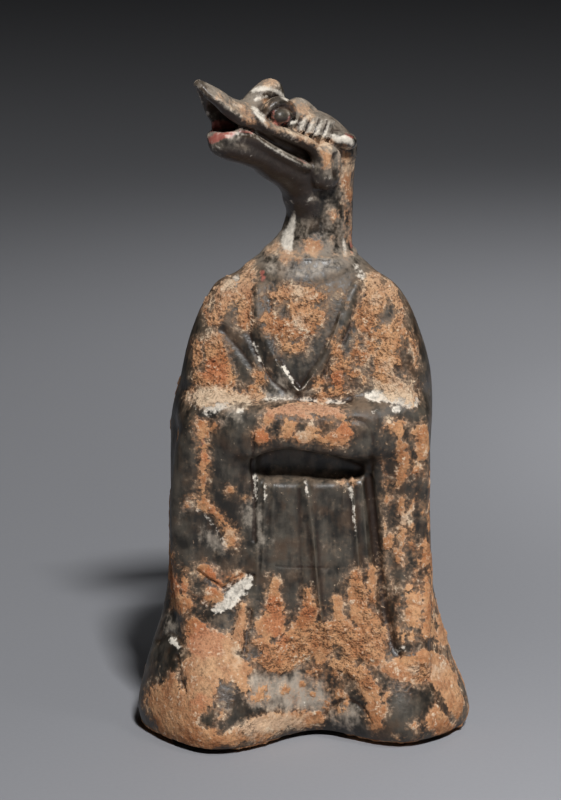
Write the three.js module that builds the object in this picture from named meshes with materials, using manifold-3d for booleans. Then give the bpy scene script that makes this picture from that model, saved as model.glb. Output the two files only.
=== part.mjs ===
// A zodiac figure of grey earthenware: a dragon's head on a standing, robed body, with the hands
// joined inside wide sleeves. It was fired as one piece, so it is one solid.
// Millimetres, +Z up. The figure faces -Y, and the origin is the middle of the flat underside.
import * as THREE from "three";
import { mergeVertices } from "three/addons/utils/BufferGeometryUtils.js";
import Module from "manifold-3d";

const wasm = await Module();
wasm.setup();

// Driving sizes
const HEIGHT = 294; // underside to the tip of the raised snout
const BASE_WIDTH = 148; // across the hem
const BASE_DEPTH = 107; // front to back of the hem
const HEM_ROUNDING = 9; // height of the rounded bottom edge
const HEM_INSET = 6; // how far the underside is set in from the hem
const HEAD_LENGTH = 90; // nape to the tip of the snout
const HEAD_TURN = 40; // degrees that the profile is turned towards the front
const NECK_RADIUS = 14.2;
const CUFF_REACH = 10; // how far the joined cuffs stand out from the skirt
const UNDERCUT = 7; // depth of the hollow below the cuffs
const SLEEVE_REACH = 5; // how far the hanging sleeves stand out
const FOLD_DEPTH = 1.2; // skirt folds
const LAPEL_THICKNESS = 1.5;

// Facets round the robe
const ROBE_SIDES = 50;

const { smoothstep, lerp, degToRad } = THREE.MathUtils;
const bell = (x, centre, width) => Math.exp(-(((x - centre) / width) ** 2));
const between = (x, low, high, soft) =>
  smoothstep(x, low - soft, low + soft) * (1 - smoothstep(x, high - soft, high + soft));

// The robe's outline. Each row is one level, as a share of HEIGHT. Then come the sideways lean and
// the half width as shares of half BASE_WIDTH, and the front and back as shares of half BASE_DEPTH.
const ROBE_LEVELS = [
  [0.0, 0.0, 0.98, 0.68, 0.97],
  [0.031, 0.0, 0.994, 0.71, 0.99],
  [0.1, -0.025, 0.918, 0.69, 0.93],
  [0.177, -0.024, 0.832, 0.63, 0.84],
  [0.302, -0.034, 0.775, 0.56, 0.77],
  [0.425, -0.022, 0.785, 0.54, 0.75],
  [0.487, -0.016, 0.783, 0.53, 0.75],
  [0.549, 0.012, 0.741, 0.505, 0.74],
  [0.611, 0.015, 0.667, 0.44, 0.69],
  [0.65, 0.02, 0.59, 0.385, 0.64],
  [0.675, 0.025, 0.505, 0.34, 0.59],
  [0.695, 0.03, 0.4, 0.28, 0.53],
  [0.72, 0.045, 0.256, 0.2, 0.45],
];
const levels = new THREE.CubicInterpolant(
  ROBE_LEVELS.map((row) => row[0]),
  ROBE_LEVELS.flatMap((row) => row.slice(1)),
  4,
);
const ROBE_TOP = ROBE_LEVELS.at(-1)[0];
const ROUNDNESS = 2.3; // exponent of the robe's oval plan

// The front of the hem swells into two lobes with a dip between them. Each is its place and half
// width as shares of BASE_WIDTH, and its swell as a share of BASE_DEPTH.
const HEM_LOBES = [
  [-0.27, 0.18, 0.198],
  [0.31, 0.16, 0.12],
  [0.04, 0.13, -0.1],
];
const LOBE_TOP = 0.27; // share of HEIGHT where the lobes have died out

function hemSwell(x, z) {
  const fade = 1 - smoothstep(z / HEIGHT, 0.01, LOBE_TOP);
  const swells = HEM_LOBES.map(([at, width, out]) => out * bell(x / BASE_WIDTH, at, width));
  return BASE_DEPTH * swells.reduce((sum, out) => sum + out) * fade;
}

// A point on the robe at an angle round it (0 is +X, a quarter turn is +Y) and a height.
function robePoint(angle, z) {
  const [lean, wide, front, back] = levels.evaluate(z / HEIGHT);
  const half = (wide * BASE_WIDTH) / 2;
  const depth = ((Math.sin(angle) < 0 ? front : back) * BASE_DEPTH) / 2;
  const c = Math.cos(angle);
  const s = Math.sin(angle);
  const reach = (Math.abs(c) ** ROUNDNESS + Math.abs(s) ** ROUNDNESS) ** (-1 / ROUNDNESS);
  const x = half * c * reach;
  const y = depth * s * reach;
  const normal = new THREE.Vector2(x / half ** 2, y / depth ** 2).normalize();
  const facing = smoothstep(Math.abs(normal.y), 0.1, 0.75);
  const relief = s < 0 ? hemSwell(x, z) : backRelief(x / BASE_WIDTH, z / HEIGHT);
  const low = Math.max(0, 1 - z / HEM_ROUNDING);
  const inset = HEM_INSET * (1 - Math.sqrt(1 - low * low));
  const out = relief * facing - inset;
  return new THREE.Vector3(x + (lean * BASE_WIDTH) / 2 + normal.x * out, y + normal.y * out, z);
}

// The back is plainer: a shallow groove down the spine, and broad soft folds in the skirt.
function backRelief(u, v) {
  const spine = -1.6 * bell(u, 0, 0.05) * between(v, 0.35, 0.62, 0.08);
  const folds = Math.cos(u * 27) * FOLD_DEPTH * between(v, 0.06, 0.36, 0.06);
  return spine + folds;
}

// A point in front of the robe, "out" millimetres from its surface
function onFront(x, z, out) {
  const [lean, wide, front] = levels.evaluate(z / HEIGHT);
  const u = Math.min(Math.abs(x - (lean * BASE_WIDTH) / 2) / ((wide * BASE_WIDTH) / 2), 0.98);
  const depth = ((front * BASE_DEPTH) / 2) * (1 - u ** ROUNDNESS) ** (1 / ROUNDNESS);
  return new THREE.Vector3(x, -depth - hemSwell(x, z) - out, z);
}

// Heights of the robe's rings: closest in the rounded bottom edge
function robeRings() {
  const rings = [];
  for (let i = 0; i < 3; i++) rings.push(HEM_ROUNDING * (1 - Math.cos((i / 3) * (Math.PI / 2))));
  const count = 17;
  for (let i = 0; i < count; i++) rings.push(lerp(HEM_ROUNDING, ROBE_TOP * HEIGHT, i / (count - 1)));
  return rings;
}

// A lathe's grid of rings, closed at both ends, is bent to the robe. More sides go to the front.
function robe() {
  const rings = robeRings();
  const profile = [
    new THREE.Vector2(0, 0),
    ...rings.map((_, i) => new THREE.Vector2(1, i)),
    new THREE.Vector2(0, rings.length - 1),
  ];
  const geometry = new THREE.LatheGeometry(profile, ROBE_SIDES);
  const at = geometry.attributes.position;
  for (let i = 0; i < at.count; i++) {
    const onAxis = Math.hypot(at.getX(i), at.getZ(i)) < 0.5;
    const turn = Math.atan2(at.getZ(i), at.getX(i));
    const z = rings[Math.round(at.getY(i))];
    const p = onAxis ? new THREE.Vector3(0, 0, z) : robePoint(-turn, z);
    at.setXYZ(i, p.x, p.y, p.z);
  }
  return geometry;
}

// A closed limb swept along stations, each { at, across, deep }: a point, the half thickness seen
// from the front and the half thickness along Y. Both ends are rounded. A higher corner is boxier.
function limb(stations, { sides = 12, rings = 6, corner = 2 } = {}) {
  const path = new THREE.CatmullRomCurve3(stations.map((s) => s.at), false, "centripetal");
  const girth = new THREE.LinearInterpolant(
    stations.map((_, i) => i / (stations.length - 1)),
    stations.flatMap((s) => [s.across, s.deep]),
    2,
  );
  const length = path.getLength();
  const cap = (s) => Math.min(0.45, Math.max(s.across, s.deep) / length);
  const [first, last] = [cap(stations[0]), cap(stations.at(-1))];
  const cupped = sides < 12 ? [0, 0.2, 1] : [0, 0.08, 0.4, 1];
  const shares = cupped.map((k) => [k * first, Math.sqrt(1 - (1 - k) ** 2)]);
  for (let i = 1; i < rings; i++) shares.push([lerp(first, 1 - last, i / rings), 1]);
  shares.push(...cupped.toReversed().map((k) => [1 - k * last, Math.sqrt(1 - (1 - k) ** 2)]));
  const profile = shares.map(([, full], i) => new THREE.Vector2(full ? 1 : 0, i));
  const geometry = new THREE.LatheGeometry(profile, sides);
  const at = geometry.attributes.position;
  const depthwards = new THREE.Vector3(0, 1, 0);
  for (let i = 0; i < at.count; i++) {
    const [share, full] = shares[Math.round(at.getY(i))];
    const t = path.getUtoTmapping(share);
    const [across, deep] = girth.evaluate(t);
    const above = new THREE.Vector3().crossVectors(depthwards, path.getTangent(t)).normalize();
    const c = at.getX(i);
    const s = at.getZ(i);
    const round = c || s ? (Math.abs(c) ** corner + Math.abs(s) ** corner) ** (-1 / corner) : 0;
    const p = path
      .getPoint(t)
      .addScaledVector(above, c * round * across * full)
      .addScaledVector(depthwards, -s * round * deep * full);
    at.setXYZ(i, p.x, p.y, p.z);
  }
  return geometry;
}

// Places on the front are drawn in millimetres at this width and height, and follow the sizes.
const DRAWN_WIDTH = 148;
const DRAWN_HEIGHT = 294;
const wide = BASE_WIDTH / DRAWN_WIDTH;
const tall = HEIGHT / DRAWN_HEIGHT;

// A limb over the front of the robe. Each row is x, z, "out", "across" and "deep".
const onRobe = (rows, options) =>
  limb(
    rows.map(([x, z, out, across, deep]) => ({ at: onFront(x * wide, z * tall, out), across, deep })),
    options,
  );

// Upper arms, from the shoulder to the elbow
const upperArm = (side) =>
  onRobe([
    [side * 30 + 1, 201, -9, 7 * wide, 8],
    [side * 35 + 1, 186, -9, 10 * wide, 11],
    [side * 40, 168, -9, 10.5 * wide, 12],
    [side * 43, 150, -8, 11 * wide, 13],
  ]);

// Forearms run level to the cuffs and make a shelf under the chest.
const FOREARM_DEEP = 15;
const forearm = (side) =>
  onRobe(
    [
      [side * 55, 143, -5, 10 * tall, 9],
      [side * 48, 144, -6, 10.5 * tall, 12],
      [side * 34, 144, 7 - FOREARM_DEEP, 10.5 * tall, FOREARM_DEEP],
      [side * 16, 142, 9 - FOREARM_DEEP, 11 * tall, FOREARM_DEEP],
      [side * 4, 140, 9 - FOREARM_DEEP, 10 * tall, FOREARM_DEEP],
    ],
    { sides: 14, corner: 2.5 },
  );

const CUFFS_DEEP = 12;
const cuffs = () =>
  onRobe(
    [
      [-32, 139, CUFF_REACH - CUFFS_DEEP - 1, 11 * tall, CUFFS_DEEP],
      [-14, 139, CUFF_REACH - CUFFS_DEEP, 12 * tall, CUFFS_DEEP],
      [12, 138.5, CUFF_REACH - CUFFS_DEEP, 12 * tall, CUFFS_DEEP],
      [31, 138, CUFF_REACH - CUFFS_DEEP - 1, 11 * tall, CUFFS_DEEP],
    ],
    { sides: 16, rings: 5, corner: 3 },
  );

// The hollow under the cuffs is cut out.
const HOLLOW_DEEP = 14;
const hollow = () =>
  onRobe(
    [
      [-25, 121, HOLLOW_DEEP - UNDERCUT, 8 * tall, HOLLOW_DEEP],
      [3, 121, HOLLOW_DEEP - UNDERCUT, 9 * tall, HOLLOW_DEEP],
      [31, 121, HOLLOW_DEEP - UNDERCUT, 8 * tall, HOLLOW_DEEP],
    ],
    { sides: 14, rings: 3, corner: 3 },
  );

// Sleeves hang from the forearms to the skirt. The one on the viewer's right ends lower.
const SLEEVE_DEEP = 13;
const hanging = (rows) =>
  onRobe(
    rows.map(([x, z, half, reach]) => [x, z, reach - SLEEVE_DEEP, half * wide, SLEEVE_DEEP]),
    { corner: 3 },
  );
const leftSleeve = () =>
  hanging([
    [-38, 152, 12, 1],
    [-41, 130, 17, SLEEVE_REACH],
    [-42, 95, 18, SLEEVE_REACH],
    [-41, 62, 15, SLEEVE_REACH],
  ]);
const rightSleeve = () =>
  hanging([
    [40, 152, 12, 1],
    [42, 130, 16, SLEEVE_REACH],
    [44, 80, 14.5, SLEEVE_REACH],
    [47, 34, 9, SLEEVE_REACH],
  ]);

// Narrow upright folds in the skirt, below the hollow: x at the top, x at the foot and z there
const FOLD_LINES = [
  [-20, -21.5, 72],
  [-13.5, -15.5, 66],
  [-7, -9, 74],
  [1.5, 2, 60],
  [8, 10, 68],
  [20.5, 25, 72],
];
const FOLD_TOP = 114;
const FOLD_HALF = 2.4;
const fold = ([top, foot, low]) =>
  onRobe(
    [
      [top, FOLD_TOP, FOLD_DEPTH - FOLD_HALF, 1.5, FOLD_HALF],
      [(top + foot) / 2, (FOLD_TOP + low) / 2, FOLD_DEPTH - FOLD_HALF, FOLD_HALF, FOLD_HALF],
      [foot, low, FOLD_DEPTH - FOLD_HALF, 1.5, FOLD_HALF],
    ],
    { sides: 6, rings: 4 },
  );

// Two bands of cloth cross in a V over the chest, and a soft collar lies round the neck.
const LAPEL_HALF = 3;
const band = (points) =>
  onRobe(
    points.map(([x, z]) => [x, z, LAPEL_THICKNESS - LAPEL_HALF, 3, LAPEL_HALF]),
    { sides: 8, rings: 6 },
  );
const lapels = () => [
  band([[-24, 203], [-22, 187], [-14, 170], [-3, 153]]),
  band([[27, 200], [21, 184], [13, 168], [-1, 154]]),
];
const COLLAR_HALF = 3.5;
const collar = () =>
  onRobe(
    [
      [-21, 211, -2, 2.5, COLLAR_HALF],
      [-11, 206.5, -1.5, 2.5, COLLAR_HALF],
      [4, 204.5, -1.5, 2.5, COLLAR_HALF],
      [17, 206.5, -1.5, 2.5, COLLAR_HALF],
      [26, 210, -2, 2.5, COLLAR_HALF],
    ],
    { sides: 8, rings: 7 },
  );

// The toe of a shoe shows at the hem.
const toe = () =>
  onRobe(
    [
      [9, 6, -9, 6, 11],
      [20, 8, -9, 9, 11],
      [31, 6, -9, 6, 11],
    ],
    { rings: 3 },
  );

// The head is drawn in profile, in millimetres at this length, from a point on the neck's axis:
// p runs back from the snout, q runs up, and w runs towards the side that faces the front. Each row
// is p, q, w, the half thickness in the profile and the half thickness across it.
const DRAWN_HEAD = 90;
const TIP_ABOVE = 44; // from that point to the top of the snout
const unit = HEAD_LENGTH / DRAWN_HEAD;
const onHead = (rows, options) =>
  limb(
    rows.map(([p, q, w, across, deep]) => ({
      at: new THREE.Vector3(p * unit, -w * unit, q * unit),
      across: across * unit,
      deep: deep * unit,
    })),
    options,
  );

const skull = () =>
  onHead(
    [
      [-71.8, 43.1, 0, 3, 3.2],
      [-66, 36, 0, 6.6, 5],
      [-59, 29.5, 0, 8.8, 7.5],
      [-52, 25.5, 0, 9.6, 9.3],
      [-44, 24.5, 0, 8.7, 10.8],
      [-34, 23.5, 0, 9.5, 12],
      [-20, 19.5, 0, 11.5, 12.8],
      [-6, 14.5, 0, 12, 13],
      [5, 8, 0, 11.5, 12.3],
      [12.5, 2.5, 0, 9.5, 10.5],
    ],
    { sides: 14, rings: 10 },
  );
const lowerJaw = () =>
  onHead(
    [
      [-62.5, 15.8, 0, 5.2, 7.5],
      [-55, 14.8, 0, 7.4, 9],
      [-45, 11.2, 0, 7.2, 9.7],
      [-34.5, 6, 0, 6.4, 10],
      [-24, 0.5, 0, 7, 11],
      [-6, -6, 0, 9, 12.5],
    ],
    { sides: 10, rings: 8 },
  );
const crest = () =>
  onHead(
    [
      [-47, 30, 0, 2.5, 5],
      [-40, 31.5, 0, 5.5, 7],
      [-31, 33.5, 0, 7.2, 7.5],
      [-25, 32, 0, 6, 6.5],
      [-19, 28, 0, 3.5, 5],
    ],
    { sides: 10, rings: 4 },
  );
const crownBump = () =>
  onHead(
    [
      [-21, 27, 0, 2.5, 5],
      [-14, 26.3, 0, 3.7, 6],
      [-6, 23, 0, 2.5, 5],
    ],
    { sides: 8, rings: 3 },
  );
const brow = (side) =>
  onHead(
    [
      [-45, 27.5, side * 9, 2, 2.5],
      [-42, 33, side * 9, 2, 3.5],
      [-34, 35.2, side * 9, 2.2, 4],
      [-26.5, 31.5, side * 10.5, 2.2, 3.5],
      [-23.5, 25, side * 11.5, 2, 2.5],
    ],
    { sides: 6, rings: 6 },
  );
const socket = (side) =>
  onHead(
    [
      [-42, 27.5, side * 14.5, 4, 5],
      [-34, 28, side * 15, 5, 5.5],
      [-26, 26.5, side * 15, 4, 5],
    ],
    { sides: 8, rings: 3 },
  );
const eyeball = (side) =>
  onHead(
    [
      [-40, 25, side * 10, 3.2, 2.6],
      [-34, 25.3, side * 10.6, 4, 3],
      [-28, 24.8, side * 10.8, 3.2, 2.6],
    ],
    { sides: 8, rings: 2 },
  );

// The cheek runs down from the eye and curls round the corner of the mouth. Behind it is a jowl.
const cheek = (side) =>
  onHead(
    [
      [-51, 29.5, side * 7.5, 1.8, 2.5],
      [-46.5, 26, side * 9.5, 2.6, 3],
      [-41.5, 21.5, side * 10.5, 3.2, 3.5],
      [-30, 16.5, side * 11.5, 3.4, 4],
      [-19.5, 13, side * 12, 3.6, 4.2],
      [-13.5, 8.5, side * 12.5, 4, 4.2],
      [-13, 2, side * 12, 3.8, 4],
      [-17.5, -2.5, side * 11, 2.4, 2.5],
    ],
    { sides: 7, rings: 9 },
  );
const jowl = (side) =>
  onHead(
    [
      [-8.5, 12, side * 12, 5, 4],
      [-6, 4, side * 12.5, 6.6, 5],
      [-6, -3, side * 12.5, 6.6, 5],
      [-9, -10, side * 11.5, 4.5, 3.5],
    ],
    { sides: 8, rings: 4 },
  );

// Short slanting ribs behind the eye
const RIBS = 4;
const rib = (side, i) =>
  onHead(
    [
      [-16.8 + 4.4 * i, 26 - 1.6 * i, side * 9.6, 1.5, 2.2],
      [-23 + 4.8 * i, 17.8 - 1.4 * i, side * 13, 1.5, 2.2],
    ],
    { sides: 6, rings: 2 },
  );
const ear = (side) =>
  onHead(
    [
      [-3.6, 13.4, side * 11.5, 2.8, 3.4],
      [2.4, 12.6, side * 12.5, 3.9, 4.2],
      [9.2, 10, side * 11, 3.4, 3.6],
    ],
    { sides: 8, rings: 2 },
  );

// Cut away: the open front of the mouth, the hollow of the palate, and a slit back to the jowl
const gape = () =>
  onHead(
    [
      [-92, 24, 0, 20, 18],
      [-78, 27, 0, 14, 18],
      [-67, 25.2, 0, 6.4, 17],
      [-60.5, 23.4, 0, 3.5, 16],
      [-55, 21.8, 0, 1.6, 15],
      [-48, 19.4, 0, 0.8, 15],
    ],
    { sides: 10, rings: 7 },
  );
const mouthFloor = () =>
  onHead(
    [
      [-61, 20, 0, 1.6, 4.5],
      [-52, 19.5, 0, 2.4, 6],
      [-43, 17, 0, 2, 6],
    ],
    { sides: 8, rings: 2 },
  );
const palate = () =>
  onHead(
    [
      [-77, 38, 0, 3, 1.6],
      [-68, 33, 0, 3.8, 3],
      [-60, 28.5, 0, 4.4, 5],
      [-52, 24.5, 0, 4.2, 6.4],
      [-44, 20, 0, 2.2, 6],
    ],
    { sides: 8, rings: 5 },
  );
const slit = (side) =>
  onHead(
    [
      [-51, 21, side * 12, 0.8, 4.5],
      [-46, 19, side * 13, 1.6, 5],
      [-37, 13.2, side * 14, 1.8, 5],
      [-28, 7.6, side * 14.5, 1.8, 4.6],
      [-19.5, 3.6, side * 14, 1.2, 3],
    ],
    { sides: 6, rings: 5 },
  );

// The neck rises from the shoulders a little to the figure's left of the robe's middle.
const HEAD_X = 0.061 * BASE_WIDTH;
const HEAD_Y = 0.094 * BASE_DEPTH;
const neck = () => {
  const ring = (x, y, z, across, deep = across) => ({
    at: new THREE.Vector3(HEAD_X + x, HEAD_Y + y, z * HEIGHT),
    across: across * NECK_RADIUS,
    deep: deep * NECK_RADIUS,
  });
  return limb(
    [
      ring(-7, -4, 0.6, 1.5, 1),
      ring(-6.5, -4, 0.695, 1.62, 1.25),
      ring(-4.5, -2, 0.723, 1.26, 1.15),
      ring(-2.8, 0, 0.755, 1.05),
      ring(-1.8, 1, 0.8, 1),
      ring(-0.5, 2, 0.85, 1),
      ring(2, 3, 0.905, 0.9),
    ],
    { sides: 18, rings: 9 },
  );
};

// manifold-3d needs a closed mesh whose shared vertices are merged.
function solid(geometry) {
  const bare = geometry.clone();
  bare.deleteAttribute("normal");
  bare.deleteAttribute("uv");
  const merged = mergeVertices(bare, 1e-4);
  return new wasm.Manifold(
    new wasm.Mesh({
      numProp: 3,
      vertProperties: merged.attributes.position.array,
      triVerts: new Uint32Array(merged.index.array),
    }),
  );
}

function geometryOf(shape) {
  const { vertProperties, triVerts } = shape.getMesh();
  return new THREE.BufferGeometry()
    .setAttribute("position", new THREE.BufferAttribute(vertProperties, 3))
    .setIndex(new THREE.BufferAttribute(triVerts, 1));
}

const joined = (geometries) => geometries.map(solid).reduce((whole, shape) => whole.add(shape));
const onBothSides = (...makers) => makers.flatMap((make) => [make(-1), make(1)]);

// The head is built in its own frame, then turned and set on the neck.
function head() {
  const ribs = (side) => Array.from({ length: RIBS }, (_, i) => rib(side, i));
  const bone = joined([skull(), lowerJaw(), crest(), crownBump()]);
  const sockets = joined(onBothSides(socket));
  const flesh = joined([...onBothSides(brow, eyeball, cheek, jowl, ear), ...onBothSides(ribs).flat()]);
  const mouth = joined([gape(), palate(), mouthFloor(), ...onBothSides(slit)]);
  const open = bone.subtract(sockets).add(flesh).subtract(mouth);
  const turn = new THREE.Matrix4().makeRotationZ(degToRad(HEAD_TURN));
  turn.setPosition(HEAD_X, HEAD_Y, HEIGHT - TIP_ABOVE * unit);
  return geometryOf(open).applyMatrix4(turn);
}

// The robe with its sleeves and cuffs, cut by the hollow, and then everything on top of it
const gown = joined([robe(), leftSleeve(), rightSleeve()]).subtract(solid(hollow()));
const arms = joined([...onBothSides(upperArm, forearm), cuffs()]);
const trimmings = joined([collar(), ...lapels(), ...FOLD_LINES.map(fold), toe()]);
const whole = gown.add(arms).add(trimmings).add(joined([neck(), head()]));

// The underside is cut flat.
const ground = new THREE.BoxGeometry(2 * BASE_WIDTH, 2 * BASE_DEPTH, HEIGHT);
ground.translate(0, 0, -HEIGHT / 2);
const figureGeometry = geometryOf(whole.subtract(solid(ground)));

// The origin is moved to the middle of the underside.
figureGeometry.computeBoundingBox();
const middle = figureGeometry.boundingBox.getCenter(new THREE.Vector3());
figureGeometry.translate(-middle.x, -middle.y, 0);

const earthenware = new THREE.MeshStandardMaterial({ color: 0x4a4640, roughness: 0.75, metalness: 0 });
const figure = new THREE.Mesh(figureGeometry, earthenware);
figure.name = "figure";

const part = new THREE.Group();
part.add(figure);

export default part;
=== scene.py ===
"""A zodiac figure in grey earthenware, with burial earth and traces of slip and red paint on it.

The robed body faces -Y and the dragon's head is turned towards -X. The figure is modelled in a block
of small cells, like clay: forms are added and cut, fine lines are drawn on the front, a crust is raised
where earth clings, and one material covers all of it.
"""
import math

import bpy
import numpy as np
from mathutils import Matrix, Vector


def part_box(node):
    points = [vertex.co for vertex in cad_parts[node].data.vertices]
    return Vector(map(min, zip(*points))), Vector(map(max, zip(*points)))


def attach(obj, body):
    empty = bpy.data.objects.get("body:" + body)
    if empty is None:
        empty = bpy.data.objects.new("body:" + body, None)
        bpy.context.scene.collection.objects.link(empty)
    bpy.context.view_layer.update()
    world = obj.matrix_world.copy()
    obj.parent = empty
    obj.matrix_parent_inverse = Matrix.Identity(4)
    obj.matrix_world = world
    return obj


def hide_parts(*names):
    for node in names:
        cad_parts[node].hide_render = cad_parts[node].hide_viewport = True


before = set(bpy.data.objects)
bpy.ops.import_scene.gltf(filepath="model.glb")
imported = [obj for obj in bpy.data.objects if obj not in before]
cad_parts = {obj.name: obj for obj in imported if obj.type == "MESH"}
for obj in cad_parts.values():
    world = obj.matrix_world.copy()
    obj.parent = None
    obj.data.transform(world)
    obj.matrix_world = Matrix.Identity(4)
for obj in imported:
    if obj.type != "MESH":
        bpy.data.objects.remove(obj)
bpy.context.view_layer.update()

import openvdb
from mathutils import Vector

bl_info = {
    "name": "Earthenware zodiac figure",
    "version": (1, 0, 0),
    "blender": (4, 5, 0),
    "location": "3D View > Sidebar > Figure",
    "description": "Models a moulded earthenware figure with burial earth on it, and its studio stage",
    "category": "Object",
}

MILLIMETRE = 0.001
NODE = "figure"
BOX_LOW, BOX_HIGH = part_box(NODE)

# The size of the clay's cells in millimetres, and the most triangles that the finished surface has
STEP = 0.6
MOST_TRIANGLES = 192000
CRUST_SEED = 7
SEED_SHIFT = 0.37  # metres between the parts of a pattern that two seeds pick
BLUR_STEPS = 14  # how widely the surface is smoothed to find its hollows
LOWERED = 0.3  # how far the whole surface is set back to make room for the crust, in millimetres
SCREEN_GAMMA = 2.2
FLOOR_SHADE = 0.97  # how dark the darker spots of the floor's paper are

# How far beyond a form its distances are worked out, in millimetres: for the body, for a form on the
# body, for a form of the head, and for the neck, from the head's axis
BODY_REACH = 8
ROBE_REACH = 6
HEAD_REACH = 5
NECK_REACH = 48

# Heights in millimetres between which one part of the figure's finish gives way to the next
FOOT_LEVEL = 0, 3
HEM_LEVEL = 25, 95
CHEST_LEVEL = 147, 157
DUST_LEVEL = 150, 200
WEAR_LEVEL = 195, 225
NECK_LEVEL = 203, 213
LINES_FADE = 4  # height above the floor below which drawn lines fade out

# The frame of the photograph, in pixels, and the camera that matches it
PHOTO_WIDTH, PHOTO_HEIGHT = 561, 800
PIXEL = 0.000445  # metres to a pixel, at the figure
AXIS_COLUMN = 303.5  # pixel column of the figure's middle
AIM = Vector((0, 0.008, 0.1455))
CAMERA_DISTANCE = 1.35
CAMERA_ELEVATION = math.radians(12)
CAMERA_BACK = Vector((0, -math.cos(CAMERA_ELEVATION), math.sin(CAMERA_ELEVATION)))
CAMERA_UP = Vector((0, math.sin(CAMERA_ELEVATION), math.cos(CAMERA_ELEVATION)))
SENSOR = 36  # height of the camera's sensor in millimetres
# The main light's place and the length of its sides
KEY_PLACE = (0.387, -1.576, 1.906)
KEY_SIZE = 0.24
# Lights on parts of the floor: the place, what it is turned to, the angle of its cone, and its radius
FRONT_SPOT = (0.75, -0.55, 1.3), (0.45, -0.35, 0), math.radians(48), 0.12
SIDE_SPOT = (0.7, 0.8, 1.3), (0.6, 0.5, 0), math.radians(45), 0.15
BACK_SPOT = (0.4, 1.2, 1.3), (0.3, 0.9, 0), math.radians(65), 0.5

# The sizes, in millimetres, at which the forms below are drawn
DRAWN_HEIGHT, DRAWN_WIDTH, DRAWN_DEPTH = 294, 148, 107
# How far the drawing's axis stands off the middle of the underside, along X and Y
DRAWN_OFFSET = (0.31, 0.46)

# The robe's outline. Each row is one level, as a share of the height. Then come the sideways lean and
# the half width as shares of half the width, and the front and back as shares of half the depth.
ROBE_LEVELS = np.array([
    [0.0, 0.0, 0.98, 0.68, 0.97],
    [0.031, 0.0, 0.994, 0.71, 0.99],
    [0.1, -0.025, 0.918, 0.69, 0.93],
    [0.177, -0.024, 0.832, 0.63, 0.84],
    [0.302, -0.031, 0.775, 0.56, 0.77],
    [0.425, -0.023, 0.779, 0.54, 0.75],
    [0.487, -0.012, 0.779, 0.53, 0.75],
    [0.549, 0.016, 0.737, 0.505, 0.74],
    [0.611, 0.015, 0.667, 0.44, 0.69],
    [0.65, 0.02, 0.59, 0.385, 0.64],
    [0.675, 0.025, 0.505, 0.34, 0.59],
    [0.695, 0.03, 0.4, 0.28, 0.53],
    [0.72, 0.045, 0.256, 0.2, 0.45],
])
ROUNDNESS = 2.3  # exponent of the robe's oval plan
# The hem's lower edge: how far up it is rounded, and how far in
HEM_ROUNDING = 11
HEM_INSET = 5
# The hem stands clear of the floor on a foot: how far the foot is set back, and the heights between
# which it gives way to the hem
FOOT_INSET = 8
FOOT_TOP = 1.4, 2.6
# Swells of the front hem: the place and half width as shares of the width, and the swell of the depth.
# They die out between two shares of the height.
HEM_LOBES = [(-0.27, 0.18, 0.198), (0.31, 0.16, 0.12), (0.04, 0.13, -0.1)]
LOBE_FADE = 0.01, 0.27
# The back: a groove down the spine and folds in the skirt. Each rises and dies out between shares of
# the height.
SPINE_DEPTH = 1.6
SPINE_WIDTH = 0.05  # share of the width
SPINE_RISE, SPINE_FADE = (0.27, 0.43), (0.54, 0.7)
FOLD_HEIGHT = 1.2
FOLD_WAVES = 27  # radians for the whole width
FOLD_RISE, FOLD_FADE = (0, 0.12), (0.3, 0.42)
# How squarely the robe faces the front or back, from 0 to 1, where the swells, groove and folds come in
RELIEF_FACING = 0.1, 0.75
SIDE_LIMIT = 0.98  # forms on the front keep within this share of the robe's half width
CAP_SHARE = 0.45  # the most of a form's length that each of its round caps takes up

# Forms on the body. Each row is x, z, the depth of the middle line in front of the robe's surface, the
# half thickness seen from the front and the half thickness front to back.
UPPER_ARM = [(30, 201, -9, 7, 8), (35, 186, -9, 10, 11), (40, 168, -9, 10.5, 12), (43, 150, -8, 11, 13)]
FOREARM = [
    (55, 143, -5, 10, 9), (48, 144, -6, 10.5, 12), (34, 144, -8, 10.5, 15),
    (16, 142, -6, 11, 15), (4, 140, -6, 10, 15),
]
CUFFS = [
    (-37, 139, -7.5, 11, 13), (-24, 139, -3, 11.5, 12.5), (-12, 139, -1.5, 12, 12),
    (14, 138.5, -1.5, 12, 12), (28, 138.5, -3, 11.5, 12.5), (42, 138, -7.5, 11, 13),
]
HOLLOW = [
    (-20, 123, 5, 5.8, 11), (-9, 124.6, 5, 8.2, 12), (3, 124, 5, 7.6, 12), (14, 122.6, 5, 6, 12),
    (25.5, 120.8, 5, 2.8, 10),
]
LEFT_SLEEVE = [
    (-35, 153, -5, 12, 13), (-39, 132, -4.5, 16.5, 13), (-41.5, 100, -7, 17.8, 13),
    (-41, 62, -11.5, 16, 13), (-40, 44, -15, 12, 12),
]
RIGHT_SLEEVE = [
    (40, 153, -5, 12.5, 13), (41, 132, -4.5, 14, 13), (42.5, 100, -6, 13, 13), (44.3, 70, -7, 12, 13),
    (46, 50, -8, 10, 13), (46.8, 29, -10, 8.5, 12),
]

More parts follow.
